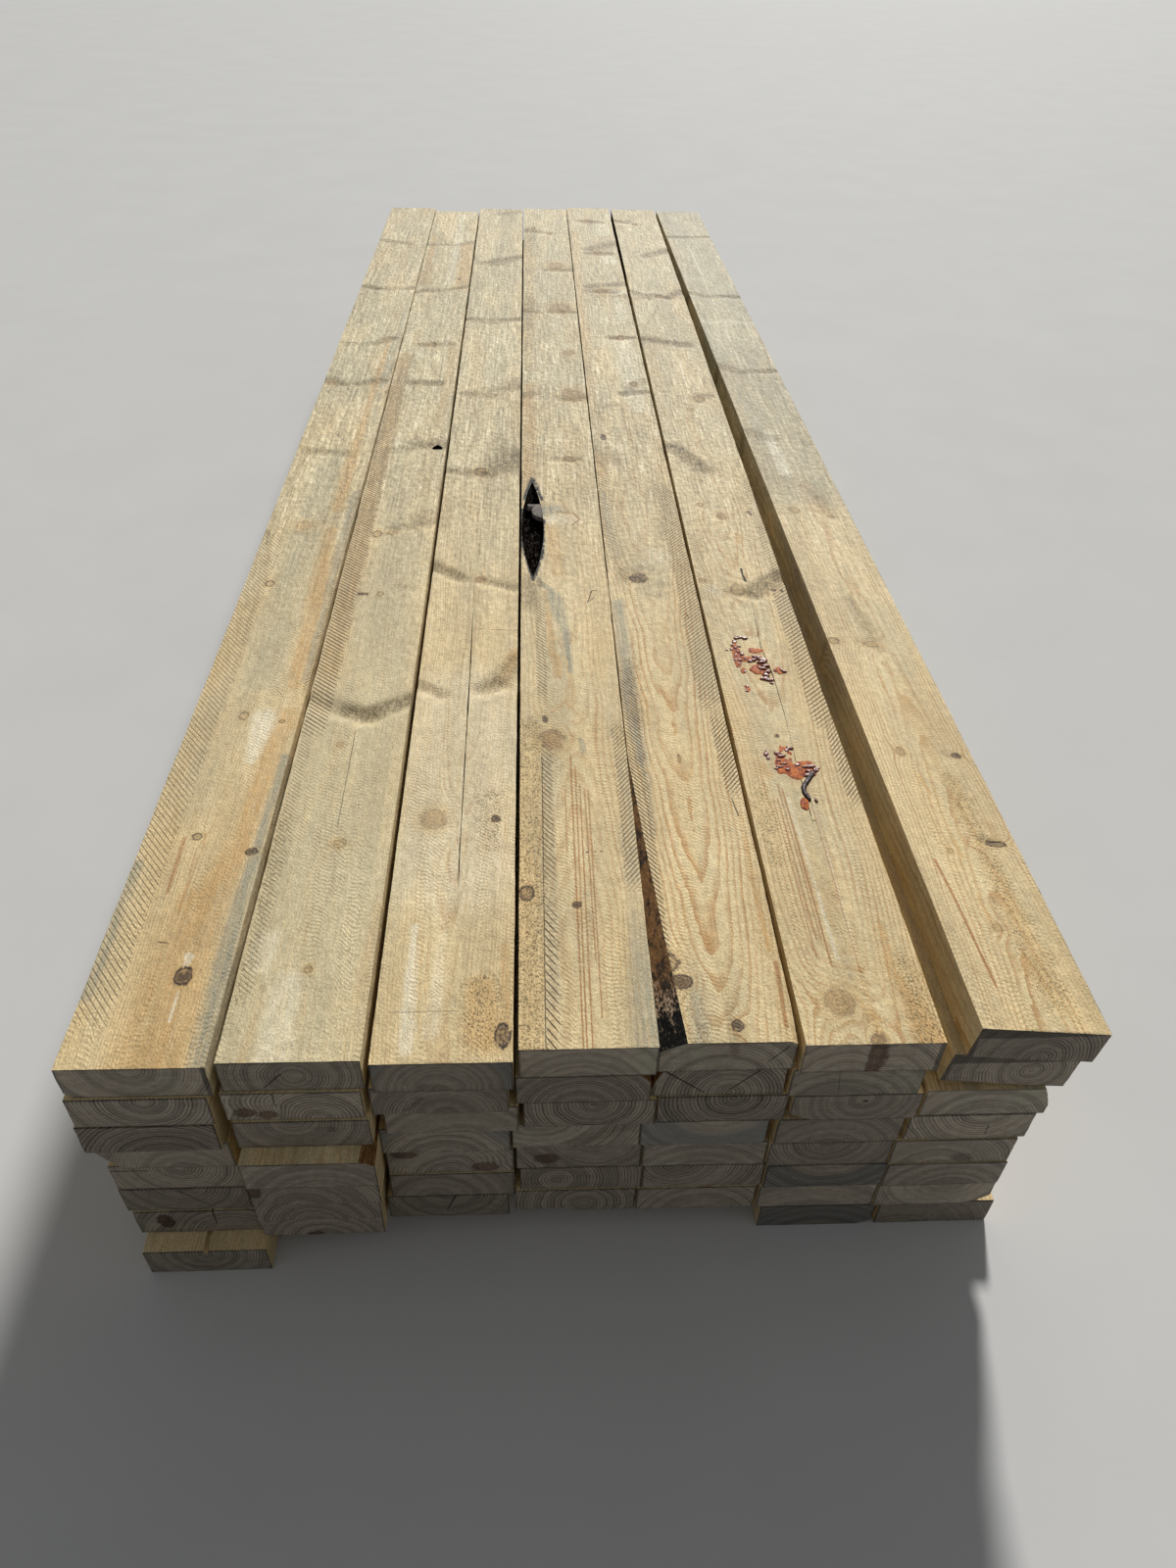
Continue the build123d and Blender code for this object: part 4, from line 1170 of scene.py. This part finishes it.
def merged_copy(node, name):
    """A new piece with a merged copy of a node's mesh, in edit mode and all selected."""
    deselect_all()
    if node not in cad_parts:
        raise RuntimeError(f"the packed model has no node {node}")
    piece = bpy.data.objects.new(name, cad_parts[node].data.copy())
    bpy.context.scene.collection.objects.link(piece)
    piece.data.materials.clear()
    piece.select_set(True)
    bpy.context.view_layer.objects.active = piece
    if piece.data.has_custom_normals:
        bpy.ops.mesh.customdata_custom_splitnormals_clear()
    bpy.ops.object.mode_set(mode="EDIT")
    bpy.ops.mesh.select_mode(type="VERT")
    bpy.ops.mesh.select_all(action="SELECT")
    bpy.ops.mesh.remove_doubles(threshold=MERGE_DISTANCE)
    bpy.ops.mesh.select_all(action="SELECT")
    bpy.ops.mesh.dissolve_limited(angle_limit=math.radians(0.2))
    return piece


def steps(low, high, spacing, near=()):
    """Places between two ends at about this spacing, and some more at these distances from the low end."""
    count = max(1, round((high - low) / spacing))
    even = [low + (high - low) * step / count for step in range(1, count)]
    extra = [low + distance for distance in near]
    clear = [place for place in even if all(abs(place - other) > spacing * 0.4 for other in extra)]
    return sorted(extra + clear)


def divide(node, spacing, front_cuts, column):
    """Cut a plank's mesh along, across and up, so that it can take waves and marks."""
    low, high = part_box(node)
    for places, normal in ((steps(low.y, high.y, spacing, front_cuts), (0, 1, 0)),
                           (steps(low.x, high.x, column), (1, 0, 0)),
                           (steps(low.z, high.z, ROW), (0, 0, 1))):
        for place in places:
            bpy.ops.mesh.select_all(action="SELECT")
            point = tuple(place * share for share in normal)
            bpy.ops.mesh.bisect(plane_co=point, plane_no=normal, use_fill=False,
                                clear_inner=False, clear_outer=False)


def clouds(name, size):
    """A cloud texture for the Displace modifier."""
    texture = bpy.data.textures.get(name) or bpy.data.textures.new(name, "CLOUDS")
    texture.noise_scale = size
    texture.noise_depth = 2
    return texture


def apply_modifier(piece, kind, name, **settings):
    """Add a modifier with these settings and apply it."""
    modifier = piece.modifiers.new(name, kind)
    for setting, value in settings.items():
        setattr(modifier, setting, value)
    bpy.ops.object.modifier_apply(modifier=name)


def displace(piece, name, size, height, level=0.5):
    """Move a piece's faces out and in by clouds of this size."""
    apply_modifier(piece, "DISPLACE", name, texture=clouds(name, size), texture_coords="GLOBAL",
                   strength=height, mid_level=level)


def break_edges(piece, surface, levels):
    """Break a plank's edges and divide its mesh evenly."""
    bpy.ops.object.mode_set(mode="OBJECT")
    apply_modifier(piece, "BEVEL", "Broken edges", width=surface.edge_round, segments=1,
                   limit_method="ANGLE", angle_limit=math.radians(50))
    apply_modifier(piece, "SUBSURF", "Divisions", subdivision_type="SIMPLE",
                   levels=levels, render_levels=levels)


def finish_plank(piece, node, surface):
    """Give a plank the waves and tears of a saw, tie it to the stack and hide its node."""
    displace(piece, "Saw waves", surface.wave_size, surface.wave_height)
    displace(piece, "Torn spots", surface.tear_size, surface.tear_height)
    bpy.ops.object.shade_smooth_by_angle(angle=math.radians(32))
    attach(piece, "root")
    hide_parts(node)


def finish_extra(piece, material):
    """Give a small piece on a plank its material, and tie it to the stack."""
    piece.data.materials.clear()
    piece.data.materials.append(material)
    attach(piece, "root")


def dress_faces(piece, material, wanted):
    """Give a material of its own to the faces whose middle and normal pass a test."""
    bpy.ops.mesh.select_mode(type="FACE")
    bpy.ops.mesh.select_all(action="DESELECT")
    mesh = bmesh.from_edit_mesh(piece.data)
    found = False
    for face in mesh.faces:
        chosen = wanted(face.calc_center_median(), face.normal)
        face.select_set(chosen)
        found = found or chosen
    bmesh.update_edit_mesh(piece.data)
    if found:
        piece.data.materials.append(material)
        piece.active_material_index = len(piece.data.materials) - 1
        bpy.ops.object.material_slot_assign()


def off_square(normal):
    """Whether a face is neither a side, an end, a top nor a bottom, as the round of the log is."""
    return max(abs(normal.x), abs(normal.y), abs(normal.z)) < 0.97


def end_look(tier, place):
    """The pith and rings, the knots and the streaks of a plank's front end, as the material takes them."""
    across, up, rings, marks = ENDS[tier, place]
    grain = {"Pith": (across, 0, up), "End contrast": rings, "Sapwood": marks.get("sapwood", NO_SAPWOOD)}
    knots = [((x, 0, z), (half_width, END_KNOT_DEPTH, half_height), sound, dark)
             for x, z, half_width, half_height, sound, dark in marks.get("knots", [])]
    streaks = {}
    for channel in ("blue", "brown", "crack"):
        streaks[channel] = [((x0, 0, z0), (x1, 0, z1), first, last, strength)
                            for x0, z0, x1, z1, first, last, strength in marks.get(channel, [])]
    return grain, knots, streaks


def look_between(look, first, last):
    """The part of a plank's look that shows between two distances from its front end, in millimetres."""
    part = dict(look)
    part["knots"] = [knot for knot in look["knots"]
                     if first - 5 * knot[1][1] < knot[0][1] < last + 5 * knot[1][1]]
    for side in ("face", "end"):
        part[side] = {}
        for channel, streaks in look[side].items():
            part[side][channel] = [
                streak for streak in streaks
                if max(streak[0][1], streak[1][1]) + 2 * max(streak[2:4]) + 20 > first
                and min(streak[0][1], streak[1][1]) - 2 * max(streak[2:4]) - 20 < last]
    part["ticks"] = [tick for tick in look["ticks"] if tick[4] + 60 > first and tick[3] - 60 < last]
    return part


class LUMBER_OT_lower_tiers(bpy.types.Operator):
    """Rough-sawn planks of the seven lower tiers"""

    bl_idname = "lumber.lower_tiers"
    bl_label = "Lower tiers"

    def execute(self, context):
        wood = context.scene.plank_wood
        surface = context.scene.plank_surface
        inner_bark = bark_material("Log round", wood.inner_bark, wood.warm_wood, 4.0, 0.1)
        for tier in range(1, TOP_TIER):
            for place in range(1, PLACES + 1):
                self.make_plank(tier, place, wood, surface, inner_bark)
        return {"FINISHED"}

    def make_plank(self, tier, place, wood, surface, inner_bark):
        node = f"plank_tier{tier}_{place}"
        piece = merged_copy(node, f"sawn_{node}")
        grain, knots, streaks = end_look(tier, place)
        grain.update({
            "Ring width": 3.5 + 0.4 * ((tier * 3 + place) % 4), "Lean": 0.0075, "Contrast": 0.7,
            "Warm": 0.1 + 0.12 * ((tier + 2 * place) % 4), "Seed": tier * 1.7 + place * 0.9})
        look = {"grain": grain, "knots": knots, "face": {}, "end": streaks, "ticks": []}
        lines = plank_lines(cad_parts[node])
        piece.data.materials.append(plank_material(f"Sawn wood {tier}-{place}", lines, look, wood))
        divide(node, surface.lower_spacing, LOWER_FRONT_CUTS, LOWER_COLUMN)
        if (tier, place) != TWISTED_PLANK:
            log_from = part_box(node)[0].y + (DIP_LENGTH if (tier, place) == DIP_PLANK else 0)
            dress_faces(piece, inner_bark, lambda middle, normal: off_square(normal) and middle.y > log_from)
        break_edges(piece, surface, surface.lower_levels)
        finish_plank(piece, node, surface)


class LUMBER_OT_top_tier(bpy.types.Operator):
    """Rough-sawn planks of the top tier, with their knots, stains, cracks and bark"""

    bl_idname = "lumber.top_tier"
    bl_label = "Top tier"

    def execute(self, context):
        wood = context.scene.plank_wood
        surface = context.scene.plank_surface
        wane_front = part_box(f"plank_tier{TOP_TIER}_{WANE_PLACE}")[0].y
        finishes = {
            "bark": bark_material("Bark", wood.bark, wood.bark_rags, 5.0, 0.0),
            "wane": wane_material("Round of the log", wood, wane_front),
            "stub": bark_material("Branch stub", wood.stub, wood.stub_shade, 3.0, 0.05),
            "split": bark_material("Inside of a split", wood.crack, wood.split, 3.0, 0.05),
        }
        for place in range(1, PLACES + 1):
            self.make_plank(place, wood, surface, finishes)
        return {"FINISHED"}

    def make_plank(self, place, wood, surface, finishes):
        node = f"plank_tier{TOP_TIER}_{place}"
        piece = merged_copy(node, f"sawn_{node}")
        low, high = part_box(node)
        lines = plank_lines(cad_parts[node])
        origin, turn = lines
        look = self.face_look(place, (high.x - low.x) / MM)
        front_look = look_between(look, BEFORE_FRONT_END, SEAM)
        back_look = look_between(look, SEAM, BEHIND_BACK_END)
        piece.data.materials.append(plank_material(f"Top plank wood {place} front", lines, front_look, wood))
        back_wood = plank_material(f"Top plank wood {place} back", lines, back_look, wood)
        divide(node, surface.top_spacing, TOP_FRONT_CUTS, TOP_COLUMN)
        dress_faces(piece, back_wood, lambda middle, normal: middle.y > origin.y + SEAM * MM)
        self.dress(piece, place, low, high, finishes)
        if place in SPLIT_PLACES:
            self.narrow_split(piece, low, high)
        break_edges(piece, surface, surface.top_levels)
        to_stack = Matrix.Translation(origin) @ Matrix.Rotation(turn, 4, "Z")
        self.press_dips(piece, TOP_PLANKS[place]["dips"], to_stack)
        finish_plank(piece, node, surface)
        if place == POCKET_PLACE:
            self.make_branch(to_stack, finishes["stub"])

    def face_look(self, place, width):
        """What shows on a top plank of this width, as the material takes it."""
        face = TOP_PLANKS[place]
        grain, end_knots, streaks = end_look(TOP_TIER, place)
        knots = [((x, y, KNOT_HEIGHT), (half_width, half_length, KNOT_REACH), sound, dark)
                 for x, y, half_width, half_length, sound, dark in face["knots"]]
        look = {"grain": {**grain, **face["grain"], "Seed": 20 + place * 1.3}, "knots": knots + end_knots,
                "face": {}, "end": streaks, "ticks": []}
        for channel in STREAK_CHANNELS:
            look["face"][channel] = [((x0, y0, 0), (x1, y1, 0), first, last, strength)
                                     for x0, y0, x1, y1, first, last, strength in face.get(channel, [])]
        for edge, *rest in face["ticks"]:
            look["ticks"].append((0.0, 1.0, *rest) if edge == "left" else (width, -1.0, *rest))
        return look

    def dress(self, piece, place, low, high, finishes):
        """Bark, stub wood and the insides of splits, on the faces that the CAD cut for them."""

        def inside(middle):
            return (low.x + CUT_FROM_SIDE < middle.x < high.x - CUT_FROM_SIDE
                    and low.y + CUT_FROM_END < middle.y < high.y - CUT_FROM_END
                    and low.z + CUT_FROM_END < middle.z < high.z - CUT_FROM_TOP)

        if place == WANE_PLACE:
            dress_faces(piece, finishes["wane"], lambda middle, normal: (
                off_square(normal) and middle.x < low.x + WANE_WIDTH))
        if place in (FALLEN_KNOT_PLACE, POCKET_PLACE):
            dress_faces(piece, finishes["bark"], lambda middle, normal: inside(middle))
        if place == POCKET_PLACE:
            dress_faces(piece, finishes["stub"], lambda middle, normal: (
                inside(middle) and abs(middle.y - low.y - STUB_BACK) < STUB_RADIUS
                and middle.z > high.z - STUB_DEPTH and abs(normal.x) < 0.5 and normal.z > 0.3))
        if place in SPLIT_PLACES:
            dress_faces(piece, finishes["split"], lambda middle, normal: inside(middle))

    def narrow_split(self, piece, low, high):
        """Draw the two walls of a drying split together, cut by cut, to a hairline."""
        mesh = bmesh.from_edit_mesh(piece.data)
        rows = {}
        for face in mesh.faces:
            middle = face.calc_center_median()
            within = low.x + SPLIT_FROM_SIDE < middle.x < high.x - SPLIT_FROM_SIDE
            if abs(face.normal.x) > 0.5 and within:
                for vertex in face.verts:
                    rows.setdefault(round(vertex.co.y, 4), set()).add(vertex.index)
        bpy.ops.mesh.select_mode(type="VERT")
        for chosen in rows.values():
            mesh = bmesh.from_edit_mesh(piece.data)
            mesh.verts.ensure_lookup_table()
            bpy.ops.mesh.select_all(action="DESELECT")
            places = []
            for index in chosen:
                mesh.verts[index].select_set(True)
                places.append(mesh.verts[index].co.copy())
            mesh.select_flush_mode()
            bmesh.update_edit_mesh(piece.data)
            middle = sum(places, Vector()) / len(places)
            bpy.ops.transform.resize(value=(SPLIT_SHARE, 1, 1), center_override=middle)

    def press_dips(self, piece, dips, to_stack):
        """Press the shallow hollows of the whorls into the upper face, each along its line."""
        bpy.ops.object.mode_set(mode="EDIT")
        bpy.ops.mesh.select_mode(type="VERT")
        top = (to_stack @ Vector((0, 0, PLANK_THICKNESS))).z
        for x0, y0, x1, y1, half_width, depth in dips:
            start = to_stack @ Vector((x0 * MM, y0 * MM, 0))
            run = to_stack @ Vector((x1 * MM, y1 * MM, 0)) - start
            mesh = bmesh.from_edit_mesh(piece.data)
            found = False
            for vertex in mesh.verts:
                offset = vertex.co - start
                share = (offset.x * run.x + offset.y * run.y) / (run.x * run.x + run.y * run.y)
                share = min(1, max(0, share))
                away = math.hypot(offset.x - run.x * share, offset.y - run.y * share)
                chosen = away < DIP_SIDE and abs(vertex.co.z - top) < DIP_HEIGHT
                vertex.select_set(chosen)
                found = found or chosen
            mesh.select_flush_mode()
            bmesh.update_edit_mesh(piece.data)
            if found:
                bpy.ops.transform.translate(
                    value=(0, 0, -depth * MM), use_proportional_edit=True,
                    proportional_edit_falloff="SMOOTH", proportional_size=half_width * MM,
                    use_proportional_connected=True)
        bpy.ops.object.mode_set(mode="OBJECT")

    def make_branch(self, to_stack, material):
        """The sawn end of the dead branch that lies across the bark pocket."""
        deselect_all()
        across, back = (place * MM for place in BRANCH_MIDDLE)
        half_sizes = tuple(size * MM for size in BRANCH_HALF_SIZES)
        middle = to_stack @ Vector((across, back, PLANK_THICKNESS - BRANCH_BELOW_FACE * MM - half_sizes[2]))
        bpy.ops.mesh.primitive_cylinder_add(vertices=48, radius=1, depth=2, location=middle)
        piece = bpy.context.object
        piece.name = "dead_branch"
        bpy.ops.object.mode_set(mode="EDIT")
        bpy.ops.transform.resize(value=half_sizes, center_override=middle)
        bpy.ops.mesh.bevel(offset=BRANCH_EDGE, segments=2, affect="EDGES")
        bpy.ops.mesh.select_all(action="SELECT")
        bpy.ops.mesh.subdivide(number_cuts=2)
        bpy.ops.object.mode_set(mode="OBJECT")
        bpy.ops.object.transform_apply(location=True, rotation=True, scale=True)
        displace(piece, "Torn branch", BRANCH_TEAR_SIZE, BRANCH_TEAR_HEIGHT, 0.8)
        bpy.ops.object.shade_smooth_by_angle(angle=math.radians(40))
        finish_extra(piece, material)


class LUMBER_OT_resin(bpy.types.Operator):
    """Dried runs of resin on the sixth plank of the top tier"""

    bl_idname = "lumber.resin"
    bl_label = "Resin"

    def execute(self, context):
        wood = context.scene.plank_wood
        materials = {
            "drops": resin_material("Dried resin", wood.resin, wood.resin_crust, 0.3, 0.4),
            "tail": resin_material("Dark resin", wood.resin_tail, wood.tail_crust, 0.45, 0.2),
            "film": resin_material("Resin film", wood.resin_film, wood.film_shade, 0.5, 0.08),
        }
        origin, turn = plank_lines(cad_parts[f"plank_tier{TOP_TIER}_{RESIN_PLACE}"])
        to_stack = Matrix.Translation(origin) @ Matrix.Rotation(turn, 4, "Z")
        for name, places in RESIN_RUNS.items():
            kind = name.split("_")[1]
            self.make_run(name, kind, places, to_stack, materials[kind])
        return {"FINISHED"}

    def between(self, places, count):
        """The places of one run with some more between each two, so that it is one smooth strip."""
        filled = []
        for first, second in zip(places, places[1:]):
            for step in range(count):
                share = step / count
                filled.append(tuple(a + (b - a) * share for a, b in zip(first, second)))
        return filled + [places[-1]]

    def with_lumps(self, places, count):
        """The drops with smaller lumps round the rim of each."""
        chance = random.Random(8)
        filled = list(places)
        for across, back, half_width, half_length, half_height in places:
            for _ in range(count):
                angle = chance.uniform(0, 2 * math.pi)
                reach = chance.uniform(0.6, 1.05)
                size = chance.uniform(0.25, 0.5)
                filled.append((
                    across + half_width * reach * math.cos(angle),
                    back + half_length * reach * math.sin(angle),
                    half_width * size + 0.4, half_length * size + 0.4,
                    half_height * chance.uniform(0.6, 1.1)))
        return filled

    def make_run(self, name, kind, places, to_stack, material):
        """Flat drops, grown into one another and slightly uneven."""
        film, tail = kind == "film", kind == "tail"
        places = self.between(places, 4) if tail else self.with_lumps(places, 4 if film else 2)
        deselect_all()
        for across, back, half_width, half_length, half_height in places:
            middle = to_stack @ Vector((across * MM, back * MM, PLANK_THICKNESS))
            bpy.ops.mesh.primitive_uv_sphere_add(segments=12, ring_count=8, radius=MM, location=middle)
            if bpy.context.object.mode != "EDIT":
                bpy.ops.object.mode_set(mode="EDIT")
            half_sizes = (half_width, half_length, half_height + 0.5)
            bpy.ops.transform.resize(value=half_sizes, center_override=middle)
        bpy.ops.object.mode_set(mode="OBJECT")
        piece = bpy.context.object
        piece.name = name
        bpy.ops.object.transform_apply(location=True, rotation=True, scale=True)
        finest = (0.5 if film else 0.7) * MM
        apply_modifier(piece, "REMESH", "Grown together", mode="VOXEL", voxel_size=finest)
        displace(piece, "Resin runs", 6 * MM, (0.6 if film else 1.2) * MM)
        apply_modifier(piece, "SMOOTH", "Softened", factor=0.5, iterations=4 if tail else 1)
        bpy.ops.object.shade_smooth()
        finish_extra(piece, material)


class LUMBER_OT_stage(bpy.types.Operator):
    """Floor, soft studio lights and camera"""

    bl_idname = "lumber.stage"
    bl_label = "Stage"

    def execute(self, context):
        settings = context.scene.plank_stage
        deselect_all()
        bpy.ops.mesh.primitive_plane_add(size=settings.floor_size, location=(0, 0, 0))
        floor = context.object
        floor.name = "floor"
        floor.data.materials.append(self.floor_material(settings))
        self.add_main_light(context, settings)
        self.light_surroundings(context, settings)
        self.add_camera(context, settings)
        context.scene.view_settings.view_transform = "Standard"
        return {"FINISHED"}

    def floor_material(self, settings):
        material, shader, place = new_material("Floor")
        tone = ease(noise(place * 3.0, 3.0, 0.6), 0.3, 0.7, 0.985, 1.015)
        feed(shader, {
            "Base Color": tone * tuple(settings.floor_colour), "Roughness": 0.9, "Specular IOR Level": 0.1})
        return material

    def add_main_light(self, context, settings):
        data = bpy.data.lights.new("Main light", "SUN")
        data.energy = settings.key_strength
        data.angle = settings.key_softness
        data.color = (1.0, 0.985, 0.955)
        light = bpy.data.objects.new("Main light", data)
        context.scene.collection.objects.link(light)
        light.location = (1, 4, 3)
        light.rotation_euler = (-(math.pi / 2 - settings.key_height), 0, -settings.key_side)

    def light_surroundings(self, context, settings):
        world = context.scene.world or bpy.data.worlds.new("Surroundings")
        context.scene.world = world
        world.use_nodes = True
        tree = world.node_tree
        seen = add_node(tree, "ShaderNodeLightPath", {}, "Is Camera Ray")
        strength = ease(seen, 0.0, 1.0, settings.sky_strength, settings.sky_shown)
        feed(tree.nodes["Background"], {"Color": (0.97, 0.985, 1.0, 1), "Strength": strength})

    def add_camera(self, context, settings):
        data = bpy.data.cameras.new("Camera")
        data.sensor_fit = "VERTICAL"
        data.sensor_height = 36
        data.lens = settings.camera_lens
        data.clip_end = 200
        camera = bpy.data.objects.new("Camera", data)
        context.scene.collection.objects.link(camera)
        camera.location = settings.camera_place
        turn = (Matrix.Rotation(-settings.camera_pan, 3, "Z")
                @ Matrix.Rotation(math.pi / 2 - settings.camera_tilt, 3, "X")
                @ Matrix.Rotation(settings.camera_roll, 3, "Z"))
        camera.rotation_euler = turn.to_euler()
        context.scene.camera = camera


class LUMBER_PT_planks(bpy.types.Panel):
    """The steps that finish the stack"""

    bl_idname = "LUMBER_PT_planks"
    bl_label = "Stack of planks"
    bl_space_type = "VIEW_3D"
    bl_region_type = "UI"
    bl_category = "Planks"

    def draw(self, context):
        layout = self.layout
        for operator in OPERATORS:
            layout.operator(operator.bl_idname)
        for settings in (context.scene.plank_wood, context.scene.plank_surface, context.scene.plank_stage):
            box = layout.box()
            for name in settings.bl_rna.properties.keys():
                if name not in ("rna_type", "name"):
                    box.prop(settings, name)


SETTINGS = {
    "plank_wood": PlankWoodSettings,
    "plank_surface": PlankSurfaceSettings,
    "plank_stage": PlankStageSettings,
}
OPERATORS = (LUMBER_OT_stage, LUMBER_OT_lower_tiers, LUMBER_OT_top_tier, LUMBER_OT_resin)


def register():
    for name, group in SETTINGS.items():
        bpy.utils.register_class(group)
        setattr(bpy.types.Scene, name, PointerProperty(type=group))
    for operator in OPERATORS:
        bpy.utils.register_class(operator)
    bpy.utils.register_class(LUMBER_PT_planks)


def unregister():
    bpy.utils.unregister_class(LUMBER_PT_planks)
    for operator in reversed(OPERATORS):
        bpy.utils.unregister_class(operator)
    for name, group in SETTINGS.items():
        delattr(bpy.types.Scene, name)
        bpy.utils.unregister_class(group)


def main():
    register()
    bpy.ops.lumber.stage()
    bpy.ops.lumber.lower_tiers()
    bpy.ops.lumber.top_tier()
    bpy.ops.lumber.resin()
    deselect_all()


if __name__ == "__main__":
    main()
